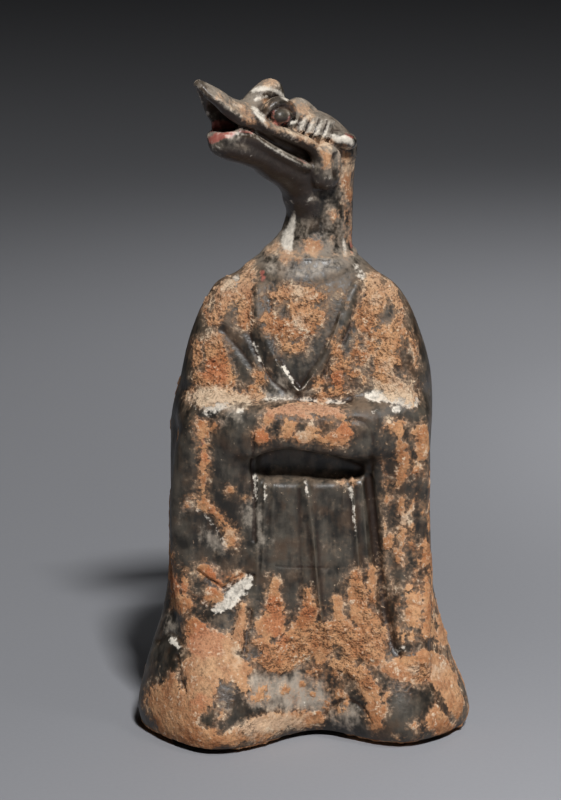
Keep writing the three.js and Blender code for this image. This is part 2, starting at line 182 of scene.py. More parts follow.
# The neck, level by level: z, then x and y from the head's axis, and the half thicknesses along X and Y
NECK = np.array([
    (196, -8.6, -4, 30, 17), (203, -8.8, -4, 28.5, 17.5), (207.5, -8.8, -3.5, 25.5, 17.3),
    (211.5, -8.2, -2.5, 20.8, 16.8), (215, -6.6, -1.5, 18.4, 16), (222, -3.4, -0.3, 15.9, 15),
    (228.6, -2.3, 0.5, 14.9, 14.5), (235, -1.9, 1, 14.6, 14.2), (250, -0.8, 2, 14.4, 14.2),
    (255.5, 0.2, 2.4, 14, 13.8), (259, 1.4, 2.6, 12.8, 12.4), (261.5, 2.2, 2.4, 10.4, 9.8),
    (263, 2.6, 2, 6, 5.5),
])
HEAD_AXIS = (9.03, 10.06)
HEAD_BASE = 250  # height of the point that the head is drawn from
HEAD_TURN = math.radians(40)

# Forms of the head, in profile. Each row is p (back from the snout), q (up), w (towards the side that
# faces the front), the half thickness in the profile and the half thickness across it.
SKULL = [
    (-71, 41.7, 0, 1.6, 2), (-67.5, 38.7, 0, 3.3, 3.8), (-62, 33.6, 0, 5.4, 6.6),
    (-56, 27.8, 0, 7.2, 8.8), (-50, 23.2, 0, 9.8, 10.2), (-44, 20.8, 0, 11.2, 11.2),
    (-34, 20.5, 0, 11.3, 12), (-20, 18.5, 0, 10.6, 12.8), (-6, 13.8, 0, 11.2, 13), (3, 8, 0, 10.8, 12.3),
    (9.8, 2.5, 0, 9.5, 10.5),
]
LOWER_JAW = [
    (-61, 15.8, 0, 5.2, 6.8), (-54, 14, 0, 6.9, 8.8), (-44, 11.2, 0, 7.3, 9.6),
    (-34.5, 6.8, 0, 6.7, 10), (-24, 1.6, 0, 6.8, 11), (-6, -3, 0, 9, 12.5),
]
CREST = [
    (-46, 28.5, 0, 2.5, 4), (-40.5, 31.4, 0, 4, 5), (-35, 34.6, 0, 4.6, 5.2), (-29.8, 35.9, 0, 4.6, 5),
    (-26, 29, 0, 3, 4),
]
THROAT = [
    (-31.9, 6.7, 0, 5.5, 6.5), (-23.7, 1.9, 0, 5.5, 6.5), (-18.5, -3.4, 0, 5.5, 7),
    (-15.3, -9.2, 0, 5.5, 8), (-13.5, -17, 0, 5.5, 9),
]
CROWN_BUMP = [(-21.5, 27.5, 1, 2, 4.6), (-15.5, 28.2, 1, 3.4, 5), (-8, 24.5, 1, 2, 4.6)]
BROW = [
    (-42.8, 25.6, 9, 1.3, 2.6), (-40.2, 29.6, 10, 2.3, 3.4), (-35, 31.6, 10.2, 2.7, 3.9),
    (-29.8, 29.6, 11.2, 2.5, 3.6), (-27.6, 25, 12, 1.9, 2.8),
]
FAR_BROW = [(p, q - 4, w, across, deep) for p, q, w, across, deep in BROW]
SOCKET = [(-42, 26, 14.5, 3.2, 4.6), (-35.2, 26.2, 15, 4.7, 5.4), (-27.5, 25.2, 15, 3.2, 4.6)]
EYEBALL = [(-39.6, 25.6, 12, 2.6, 2.9), (-35.2, 26, 12.8, 3.5, 4), (-30.4, 25.4, 12.6, 2.6, 2.9)]
CHEEK = [
    (-49.5, 29, 8.5, 1.8, 2.5), (-46, 24.8, 10.4, 2.4, 3), (-41, 21, 11.2, 2.8, 3.5),
    (-31.5, 17.3, 12, 3, 4.2), (-22, 13.4, 12.6, 3, 4.6), (-17, 9.6, 13.4, 2.7, 4.6),
    (-15.4, 4, 13.4, 2.3, 4.4), (-17.5, -1.5, 12.4, 1.7, 3),
]
JOWL = [(-9.4, 12.2, 12, 7.2, 5), (-10.2, 1.5, 12.8, 7.8, 5.4), (-11.4, -9, 12.2, 8.4, 5)]
JOWL_HOLLOW = [(-8.6, 9, 19.4, 2.6, 3.4), (-8, -4, 20, 3.4, 3.4)]
LOWER_LIP = [
    (-61, 17.4, 5, 1.6, 2), (-53, 18, 7.2, 2, 2.4), (-46, 15.8, 8.8, 2.2, 2.6),
    (-35, 9.8, 10.6, 2.2, 2.8), (-27, 5.4, 11.6, 2.2, 2.8), (-19, 1.8, 12.2, 2, 2.6),
]
NEAR_LIP = [
    (-70.3, 40, 2.2, 1.3, 1.6), (-68.4, 36.8, 4, 1.8, 2.4), (-66.2, 34.8, 5.2, 2, 3),
    (-63.2, 32.4, 6.2, 2.2, 3.2), (-60, 29.8, 7.2, 2.2, 3.2), (-56.2, 27.2, 8.2, 2.1, 3),
    (-52.4, 25, 8.8, 1.9, 2.8), (-47.5, 23, 9.4, 1.6, 2.6),
]
FAR_LIP = [
    (-68, 39, -2.6, 1.2, 1.2), (-63.5, 33.9, -5.5, 1.4, 1.3), (-58.9, 27, -7.5, 1.5, 1.4),
    (-55.6, 23.2, -8.2, 1.5, 1.4), (-55, 18, -8.4, 1.5, 1.4),
]
RIB_BED = [(-27, 22, 15.6, 5, 3.8), (-15, 20, 16.7, 6.2, 3.8), (-4, 18, 16.2, 5, 3.8)]
RIBS = [
    [(-18.4 + 4.5 * i, 25.6 - 1.2 * i, 9.8, 1.1, 3.6), (-26 + 4.8 * i, 18.2 - 1.4 * i, 13.4, 1.3, 3.4)]
    for i in range(4)
]
EAR = [(-8, 14.4, 13.4, 2.8, 3), (-2, 13.2, 14.6, 4.1, 4.4), (4.8, 10.8, 13, 3.8, 4)]
GAPE = [
    (-92, 24, 0, 20, 18), (-78, 27.6, 0, 15, 18), (-67, 25.4, 0, 6.6, 17), (-60.5, 23.2, 0, 3.4, 16),
    (-54.5, 21.4, 0, 1.4, 15),
]
MOUTH_FLOOR = [(-58, 20.4, 0, 1.4, 4.5), (-51, 19.6, 0, 2, 6), (-43, 17, 0, 1.8, 6)]
PALATE = [
    (-68.5, 36, 0, 1.6, 1.6), (-65.5, 32, 0, 3.2, 3.2), (-60.5, 28, 0, 4.4, 5.4),
    (-54, 24.5, 0, 4.6, 6.4), (-47, 21, 0, 2.6, 6),
]
SLIT = [
    (-56, 22.4, 11, 0.8, 4), (-51, 21.3, 12.5, 0.8, 4.5), (-46, 19.1, 13.2, 0.8, 5),
    (-40, 15.7, 14, 0.9, 5), (-33, 11.9, 14.5, 1, 5), (-26, 8.3, 14.8, 1.2, 4.6),
    (-19.5, 6.2, 14.8, 1.6, 3.8),
]

# Lines drawn on the front, in pixels of the photograph's frame: x, y and half width for each point of a
# line, after its height in millimetres. Rolls are rounded bands; ridges and grooves are soft.
ROLLS = [
    (1.3, 259, 287, 7, 256, 305, 8, 260, 326, 8.5, 268, 346, 8, 277.5, 366, 7, 288, 381, 6, 298, 391, 4),
    (1.1, 357, 283, 6, 350, 300, 8, 343, 322, 8, 334, 342, 8, 323, 362, 7, 312, 378, 6, 304, 389, 4),
    (0.7, 266, 269, 8, 284, 277, 9, 306, 279, 9, 328, 273, 9, 347, 265, 7),
    (1.2, 260, 440, 9),
    (0.8, 347, 718, 19),
    (1.2, 228, 296, 24),
    (1.0, 384, 300, 20),
]
RIDGES = [
    (-0.7, 302, 116, 1.2, 296.5, 128, 1.2), (-0.7, 309.7, 117.5, 1.2, 303.5, 131, 1.2),
    (-0.7, 318.2, 119, 1.2, 311.8, 134, 1.2), (-0.7, 326, 120.5, 1.2, 319.6, 136.5, 1.2),
    (-0.7, 333, 122, 1.2, 328, 139, 1.2),
    (0.9, 277, 362, 1.2, 286, 376, 1.5, 295, 387, 1.6, 301, 390, 1.6, 308, 381, 1.3, 312, 377, 1),
    (0.7, 340, 315, 1.4, 334, 333, 1.5, 327, 350, 1.4),
    (0.5, 258, 480, 2, 258, 540, 2, 256, 590, 2),
    (0.7, 265, 484, 1.9, 264, 530, 2.2, 262, 575, 2),
    (0.4, 274, 484, 1.6, 272, 530, 2),
    (1.6, 306, 482, 5.5, 310, 510, 4, 314, 545, 2.4, 318, 590, 2, 322, 620, 1.8),
    (1.2, 352, 478, 1.6, 355, 520, 1.9, 358, 560, 2.2, 360, 590, 2.2),
    (0.5, 343, 478, 1.6, 344, 510, 1.5),
    (0.8, 362, 485, 1.8, 366, 540, 1.8, 371, 600, 1.6),
    (1.2, 243, 607, 3.5, 240, 630, 4, 236, 650, 4),
    (0.6, 193, 430, 5, 190, 560, 5),
    (0.8, 402, 430, 4, 404, 520, 5, 401, 600, 4),
    (0.7, 232, 430, 8, 236, 520, 8),
    (-0.9, 249, 292, 2.6, 246, 318, 3, 251, 340, 3, 261, 364, 3, 272, 380, 2.6, 284, 391, 2.2),
    (-0.5, 270, 298, 1.6, 272.5, 318, 1.8, 279, 332, 1.6),
    (-0.9, 366, 289, 3, 360, 306, 3, 350, 328, 3, 340, 346, 2.6, 330, 359, 2.2, 326, 371, 2,
     321, 383, 2, 323, 394, 2),
    (-0.6, 299, 490, 3, 300, 560, 3.4, 301, 600, 3),
    (-0.6, 330, 500, 5, 333, 560, 5, 336, 600, 4),
    (-2.4, 368, 478, 4, 371, 500, 4.4, 376, 545, 5, 381, 585, 5.6, 386, 620, 6, 392, 645, 6, 398, 655, 5.4),
    (-0.35, 276, 566, 1, 292, 567.5, 1, 310, 567, 1, 330, 568, 1),
    (-0.9, 252.5, 432, 2, 253, 455, 2, 254, 500, 2.2, 254, 540, 2.2),
    (-1.4, 197, 571, 1.7, 210, 580, 2.2, 223, 588, 2.4, 234, 580, 2.4, 244, 575, 2.4, 253, 575, 1.9),
    (-1.0, 176, 655, 2, 180, 675, 2.4, 184, 692, 2),
    (-0.9, 250, 610, 2.6, 246, 640, 3, 243, 660, 2.4),
    (-0.9, 323, 717, 1.8, 331, 706, 2, 344, 700, 2, 355, 702.5, 2, 364, 711, 2, 371, 724, 1.8),
    (-0.8, 422, 606, 4, 425, 632, 4, 426, 650, 4),
    (-0.8, 352, 420, 3, 364, 422, 3, 372, 432, 3, 374, 448, 3, 370, 470, 3),
    (-0.9, 222, 330, 4, 240, 350, 4, 254, 370, 4, 262, 388, 4),
    (-0.7, 207, 420, 5, 208, 500, 6, 214, 560, 5),
    (-0.7, 416, 430, 4, 418, 520, 4, 421, 600, 4),
    (-0.5, 388, 430, 4, 391, 600, 4),
    (-1.0, 262, 722, 4),
    (-1.2, 298, 398, 4, 330, 400, 4, 350, 398, 4),
    (-0.8, 158, 640, 3, 168, 632, 3, 180, 640, 3),
]

# Marks painted on the front, in the same pixels: x, y and half width for each point of a stroke
EARTH = [
    (228, 287, 9, 216, 304, 13, 212, 318, 8), (249, 262, 6, 247, 281, 8, 243, 299, 9, 243, 322, 7),
    (213, 338, 6, 216, 350, 13, 218, 368, 15, 222, 383, 13, 204, 380, 11), (197, 342, 5, 196, 360, 5),
    (192, 394, 6, 206, 398, 10, 224, 396, 9, 243, 397, 6, 258, 398, 3),
    (276, 294, 7, 300, 293, 9, 324, 297, 7), (300, 308, 10),
    (270, 318, 7, 284, 330, 12, 304, 324, 12, 318, 315, 7), (285, 348, 6, 300, 346, 6),
    (372, 283, 10, 374, 300, 13, 366, 322, 11), (392, 292, 8, 398, 306, 5), (334, 370, 5, 338, 384, 5),
    (354, 374, 6), (362, 356, 6), (396, 318, 6, 391, 340, 12, 385, 365, 12, 390, 386, 12, 412, 396, 7),
    (373, 345, 8), (260, 376, 7), (252, 389, 4.5), (318, 384, 5), (336, 392, 4),
    (269, 419, 5.4, 273, 411, 6.4, 300, 409, 6.4, 330, 411, 7, 344, 418, 7), (345, 424, 7, 343, 440, 8),
    (334, 441, 7), (261, 438, 8.4), (289, 426, 6.6), (312, 429, 6),
    (296, 438, 4, 313, 437, 5, 330, 440, 5), (201, 424, 6, 203, 448, 5, 204, 474, 4.4, 203, 498, 4),
    (231, 490, 3.6), (245, 498, 1.6),
    (194, 499, 3, 206, 506, 3.2, 216, 514, 3.6, 223, 522, 4, 229, 532, 5.4, 231, 545, 3.4), (187, 505, 3),
    (401, 500, 4, 402, 524, 6, 401, 552, 5), (410, 588, 5, 412, 622, 8), (404, 446, 4), (416, 470, 4),
    (415, 433, 4), (424, 429, 3), (427, 545, 3, 432, 576, 4), (343, 481, 2.4), (351, 481, 1.6),
    (199, 567, 5, 212, 577, 6.4, 221, 584, 4), (228, 579, 5, 240, 574, 3.4), (212, 596, 8),
    (184, 570, 4, 184, 590, 4.4, 188, 606, 6), (168, 556, 3, 172, 580, 5, 178, 604, 7),
    (196, 628, 11, 206, 645, 17, 226, 650, 12),
    (163, 700, 18, 176, 706, 26, 190, 688, 26, 206, 668, 18, 232, 668, 14),
    (170, 722, 16, 196, 736, 14, 214, 740, 8), (240, 672, 12, 243, 690, 6),
    (243, 608, 4, 240, 630, 6, 236, 645, 8), (273, 580, 4, 275, 602, 8, 270, 625, 15),
    (308, 592, 5, 310, 612, 7, 306, 630, 12), (336, 598, 3.5, 338, 618, 7),
    (355, 574, 6.5, 356, 595, 9, 363, 613, 12, 374, 634, 13), (373, 570, 4, 373, 600, 6),
    (258, 648, 13, 275, 660, 13, 295, 648, 16, 322, 636, 16, 350, 640, 16, 374, 652, 14),
    (345, 664, 9, 366, 680, 9, 372, 704, 8, 378, 726, 6),
    (226, 737, 8, 252, 730, 13, 284, 720, 9, 318, 719, 7),
    (392, 668, 9, 412, 670, 15, 434, 668, 17, 452, 690, 11, 458, 712, 6), (436, 720, 12, 448, 730, 8),
    (418, 742, 4), (384, 712, 7), (442, 640, 8, 444, 612, 5), (430, 632, 7, 428, 606, 4), (338, 714, 3),
    (344, 709, 2), (262, 690, 3), (270, 699, 3), (285, 690, 3.4), (294, 698, 3), (303, 684, 3),
    (313, 693, 3), (327, 690, 3), (221, 95.5, 1.4, 231, 102, 1.8), (231, 103, 2.6, 244, 107, 3),
    (248.5, 115, 2.6, 252, 123, 2.8), (262, 82, 2.6, 276, 81, 3), (267.5, 102.5, 1.4),
    (294, 103, 3, 302, 108, 3.6, 312, 116, 3.4),
    (267, 123, 2.6, 277.5, 128.5, 3, 290, 132, 3, 302.5, 136.5, 3, 315, 140.5, 3.2, 327, 143, 2.8),
    (322, 152, 2.6, 328, 158, 3, 325, 168, 2), (343, 150, 3, 347, 160, 4.6, 347, 178, 5, 349, 192, 3),
    (350, 190, 2.4, 350.5, 215, 2.2, 350, 240, 2.2), (347, 252, 3.2), (268, 250, 5, 275, 245, 3),
    (284, 257, 5.6, 298, 256, 4.6), (336, 216, 2.4), (306, 250, 2.6),
]
BARE = [
    (281, 116, 8), (199, 82, 5),
    (266, 110, 3.4, 270, 102, 4, 279, 99, 4, 288, 103, 4, 293, 111, 3.4, 293, 119, 2.6),
    (168, 628, 8, 166, 650, 8, 172, 666, 6), (177, 672, 3, 184, 690, 2),
    (222, 703, 8, 240, 712, 12, 222, 728, 8), (400, 702, 14, 420, 704, 12, 396, 722, 13, 410, 735, 9),
    (391, 600, 6, 393, 640, 5), (213, 294, 2, 210, 312, 2), (338, 652, 4), (300, 668, 4), (357, 662, 3),
    (222, 318, 4), (255, 651, 5), (281, 421, 2.4), (300, 420, 3.4, 322, 424, 4), (325, 433, 2.4),
    (175, 440, 9, 176, 530, 9), (328, 345, 4, 322, 366, 4), (236, 340, 3, 240, 362, 3),
]
MOTTLED = [
    (394, 428, 9, 398, 470, 13, 400, 520, 16, 402, 580, 17, 410, 630, 14),
    (424, 430, 7, 427, 520, 6, 431, 600, 7), (345, 345, 14, 352, 378, 14), (404, 340, 12, 404, 384, 12),
    (207, 300, 8), (392, 286, 8), (256, 690, 12), (334, 702, 13), (398, 704, 16, 404, 730, 12),
    (230, 715, 14), (272, 300, 8, 334, 300, 10), (376, 330, 12), (330, 392, 12),
    (300, 655, 16, 344, 668, 14), (350, 170, 5, 351, 230, 5), (300, 250, 8, 330, 246, 8), (212, 424, 7),
    (272, 427, 9, 305, 429, 11, 340, 427, 10),
]
CLODS = [
    (250, 640, 12, 272, 664, 13, 290, 650, 16, 320, 636, 17, 350, 642, 17, 374, 646, 14, 366, 600, 10,
     357, 578, 8),
    (345, 668, 12, 368, 680, 10), (273, 606, 9), (309, 610, 8), (245, 300, 8), (374, 310, 12),
    (212, 376, 14), (388, 370, 13), (290, 328, 12), (345, 360, 12), (420, 672, 12), (246, 728, 10),
]
WARM = [
    (216, 372, 14), (336, 378, 9), (204, 460, 8), (216, 578, 12), (205, 640, 20),
    (273, 606, 10, 280, 640, 8), (309, 610, 8), (200, 700, 10), (272, 410, 9, 340, 410, 9),
    (345, 432, 12), (261, 438, 9), (212, 512, 5), (176, 585, 12),
]
YELLOW = [
    (236, 105, 6), (262, 92, 8), (277, 128, 4, 327, 142, 4), (310, 116, 5), (347, 165, 8),
    (200, 396, 12, 240, 400, 9), (370, 392, 14, 405, 396, 12), (235, 655, 8), (390, 360, 8, 394, 385, 8),
    (238, 664, 7), (438, 670, 8), (375, 300, 6), (402, 520, 10), (250, 726, 14, 300, 720, 10),
    (300, 291, 9), (300, 322, 8), (212, 334, 7), (229, 532, 6), (306, 436, 6), (230, 285, 8),
    (412, 668, 8), (392, 402, 16), (215, 402, 16), (275, 722, 12),
]
SLIP = [
    (249, 579, 5, 238, 590, 7.6, 224, 603, 8, 217, 610, 5), (204, 604, 3), (396, 651, 3), (404, 648, 3),
    (199, 510, 1.6, 210, 521, 2.2, 220, 535, 2, 227, 547, 1.8), (236, 558, 1.8), (239, 567, 1.4),
    (197, 571, 0.7, 210, 582, 0.7, 223, 589.5, 0.8, 232, 582, 0.7), (264, 723, 3), (306, 705, 3),
    (255.2, 474, 1, 255.6, 508, 1.1), (265, 484, 0.7, 265, 504, 0.7), (350.5, 485, 1.2, 351.5, 501, 1.3),
    (353, 505, 0.7, 356, 535, 0.7), (306, 483, 1.8, 307, 493, 1.4),
    (202, 401, 5, 214, 406, 7, 226, 402, 5), (238, 398, 3),
    (186, 394, 0.9, 193, 406, 1, 209, 416, 1.2, 223, 409, 1),
    (232, 394, 2.4, 250, 398, 1.8, 275, 398.5, 1.2, 300, 399, 1, 345, 400, 1.4), (240, 411, 3.4),
    (368, 396, 4, 390, 396, 8, 412, 400, 8), (398, 409, 5), (374, 411, 2),
    (284, 367, 0.2, 293, 382, 0.4, 300, 389.5, 0.5, 308, 381, 0.2),
    # The hair-thin stroke from (251, 336) to (265, 367) is a painted highlight along the left fold of the V
    (251, 336, 0.2, 259, 358, 0.3, 265, 367, 0.2), (238, 278, 5, 234, 287, 6),
    (356, 264, 2.5, 363, 276, 3), (375, 281, 3, 379, 289, 2.5), (344, 240, 1.6, 346, 254, 1.8),
    (293.5, 212, 1.4, 290.5, 227, 4.4, 287, 238, 6.6, 288, 249, 5), (234, 104, 1.4, 243, 106.5, 1.6),
    (253, 90, 2.4, 262, 87.5, 3, 271, 89, 2.4), (274, 90, 1.8, 281, 94, 2.6, 288, 99, 2.2),
    (256, 99, 1.8, 268, 96.5, 1.6), (253, 107, 2, 258, 113, 3.2, 264, 120, 3), (290, 123, 2, 297, 121, 2),
    (172, 640, 3, 178, 648, 2), (300, 129, 2.4, 305.5, 117, 2), (307.6, 132, 2.2, 313.5, 119, 1.6),
    (315.8, 135, 1.8, 321.8, 121, 2), (324, 137, 1.2, 329.4, 122, 1.6), (333, 137, 4, 339, 140, 4.4),
    (345, 139, 5, 351, 142, 4), (255.5, 129, 0.8, 257.5, 136, 0.9), (237, 133.5, 1, 252, 135.5, 1),
    (301, 157.5, 0.9, 306, 161.5, 0.9),
    # This line along the upper edge of the lower lip is partly slip and partly painted highlight
    (258, 138.5, 0.9, 268, 145.5, 1.1, 277.5, 151.6, 1.1, 290, 158.8, 1.4, 300, 163.4, 1),
]
PALE = [
    (262, 690, 20, 295, 692, 22, 318, 700, 16), (304, 669, 5), (322, 705, 6), (170, 625, 8),
    (272, 266, 2, 300, 272, 3, 335, 267, 2), (352, 664, 5), (250, 505, 6, 262, 540, 6), (208, 640, 4),
    # The stroke from (206, 92) to (228, 109) lays a pale sheen along the top of the beak, partly dust and
    # partly painted highlight
    (346, 714, 14), (300, 396, 6, 260, 396, 6), (206, 92, 2.4, 228, 109, 3.4), (222, 139, 4, 236, 139, 3),
    (235, 412, 8), (218, 422, 5), (279, 386, 7), (208, 534, 6, 222, 550, 5), (187, 508, 5), (340, 155, 4),
]
RED = [
    (211.5, 139.5, 4, 220, 135.5, 4.8, 231, 133, 3.4), (212, 128, 3.6, 222, 124, 4.6, 232, 127, 3.4),
    (240, 130.5, 1.1, 252, 133, 1.1),
    (274, 111, 0.6, 271.5, 116, 0.9, 274.5, 122, 0.9, 281, 124.6, 0.9, 288, 122, 0.9, 291, 116, 0.7),
    (299, 158, 1.2, 305.5, 161.5, 1.2), (263, 280, 2, 262, 272, 2), (209, 381.5, 3.2), (339, 385, 2.4),
    (336, 216, 1.6), (306, 488, 1.4), (206, 506, 1, 221, 519, 1.2), (325, 158, 1.6),
    (346, 133.5, 1, 352, 137, 1.4), (307, 249, 1.6), (351, 232, 1, 352, 252, 1), (343, 481, 1.2),
    (203, 440, 2, 204, 490, 1.6),
]
MARKS = {
    "earth": EARTH, "bare": BARE, "mottled": MOTTLED, "clods": CLODS, "warm": WARM, "yellow": YELLOW,
    "slip": SLIP, "pale": PALE, "red": RED,
}
MARK_REACH = 12  # how far from a mark its distance is still worked out, in pixels
LINE_REACH = 8  # the same for the soft edge of a ridge or groove
# How squarely a surface faces the camera, from 0 to 1, where drawn lines and marks come in
FACING = 0.03, 0.16


def smoothstep(value, low, high):
    """A smooth rise from 0 at low to 1 at high."""
    share = np.clip((value - low) / (high - low), 0, 1)
    return share * share * (3 - 2 * share)


def bell(value, centre, width):
    """A bump of height 1 at the centre."""
    return np.exp(-(((value - centre) / width) ** 2))


def soft_minimum(a, b, blend):
    """The smaller of two distances, rounded where they meet."""
    if blend <= 0:
        return np.minimum(a, b)
    near = np.maximum(blend - np.abs(a - b), 0) / blend
    return np.minimum(a, b) - near * near * blend / 4


def curve_through(rows, parts=5):
    """Rows closely spaced on a smooth curve through the given ones."""
    given = np.array(rows, float)
    ends = np.vstack([2 * given[0] - given[1], given, 2 * given[-1] - given[-2]])
    t = np.linspace(0, 1, parts, endpoint=False)[:, None]
    curve = [
        b + 0.5 * ((c - a) * t + (2 * a - 5 * b + 4 * c - d) * t**2 + (3 * b - a - 3 * c + d) * t**3)
        for a, b, c, d in zip(ends, ends[1:], ends[2:], ends[3:])
    ]
    return np.vstack([*curve, given[-1:]])


def swept(rows):
    """A form's rows on a smooth curve. The two ends are drawn in by their own half thickness, because
    each gets a round cap."""
    path = curve_through(rows)
    run = np.concatenate([[0], np.cumsum(np.hypot(*np.diff(path[:, :2], axis=0).T))])
    first = min(path[0, 3], CAP_SHARE * run[-1])
    last = run[-1] - min(path[-1, 3], CAP_SHARE * run[-1])
    at = np.linspace(first, last, len(path))
    return np.stack([np.interp(at, run, column) for column in path.T], axis=1)


def limb_distance(p, q, w, path, corner):
    """Distance to a limb swept along a path of rows: p, q, w, and the half thicknesses in the p-q plane
    and along w. A higher corner is boxier."""
    nearest = np.float32(1e6)
    for (p0, q0, w0, a0, b0), (p1, q1, w1, a1, b1) in zip(path, path[1:]):
        dp, dq, dw = p1 - p0, q1 - q0, w1 - w0
        flat = 4 / (a0 + a1) ** 2
        thin = 4 / (b0 + b1) ** 2
        length = flat * (dp * dp + dq * dq) + thin * dw * dw + 1e-9
        plane = ((p - p0) * dp + (q - q0) * dq) * (flat / length)
        along = np.clip(plane + (w - w0) * (dw * thin / length), 0, 1)
        across = a0 + along * (a1 - a0)
        deep = b0 + along * (b1 - b0)
        u = np.hypot(p - p0 - along * dp, q - q0 - along * dq) / across + 1e-4
        v = np.abs(w - w0 - along * dw) / deep + 1e-4
        if corner == 2:
            size = np.hypot(u, v)
            slope = np.hypot(u / across, v / deep) / size
        else:
            size = (u**corner + v**corner) ** (1 / corner)
            slope = np.hypot(u ** (corner - 1) / across, v ** (corner - 1) / deep) * size ** (1 - corner)
        nearest = np.minimum(nearest, (size - 1) / slope)
    return nearest


class Clay:
    """A block of small cells. Each holds its distance in millimetres to the figure's surface."""

    FAR = 30.0

    def __init__(self, low, high, step):
        self.step = step
        self.axes = [np.arange(a, b + step, step, dtype=np.float32) for a, b in zip(low, high)]
        self.cells = np.full([len(axis) for axis in self.axes], self.FAR, np.float32)

    def window(self, low, high):
        """The cells between two corners: their slices and their coordinates."""
        spans = tuple(slice(*np.searchsorted(axis, ends)) for axis, ends in zip(self.axes, zip(low, high)))
        x, y, z = (axis[span] for axis, span in zip(self.axes, spans))
        return spans, x[:, None, None], y[None, :, None], z[None, None, :]

    def join(self, spans, distance, blend, cut=False):
        """Adds a form or cuts it away. The blend is the width of the rounding where it meets the rest."""
        sign = -1 if cut else 1
        self.cells[spans] = sign * soft_minimum(sign * self.cells[spans], distance, blend)

    @staticmethod
    def largest_body(points, quads):
        """The points and faces of the largest body, without the specks that cuts leave beside it."""
        body = np.arange(len(points))
        joined = None
        while not np.array_equal(body, joined):
            joined = body
            body = joined.copy()
            np.minimum.at(body, quads.ravel(), np.repeat(joined[quads].min(axis=1), 4))
            body = body[body]
        kept = body == np.bincount(body).argmax()
        return points[kept], (np.cumsum(kept) - 1)[quads[kept[quads[:, 0]]]]

    def mesh(self, name):
        """The surface as a mesh of four-sided faces, in metres."""
        band = 3 * self.step
        grid = openvdb.FloatGrid(background=band)
        grid.copyFromArray(np.clip(self.cells, -band, band), tolerance=1e-6)
        points, _, quads = grid.convertToPolygons(0.0, 0.0)
        points, quads = self.largest_body(points, quads)
        points = points * self.step + [axis[0] for axis in self.axes]
        mesh = bpy.data.meshes.new(name)
        mesh.vertices.add(len(points))
        mesh.vertices.foreach_set("co", (points * MILLIMETRE).astype(np.float32).ravel())
        mesh.loops.add(quads.size)
        mesh.loops.foreach_set("vertex_index", quads.astype(np.int32).ravel())
        mesh.polygons.add(len(quads))
        mesh.polygons.foreach_set("loop_start", np.arange(0, quads.size, 4, dtype=np.int32))
        mesh.update(calc_edges=True)
        return mesh


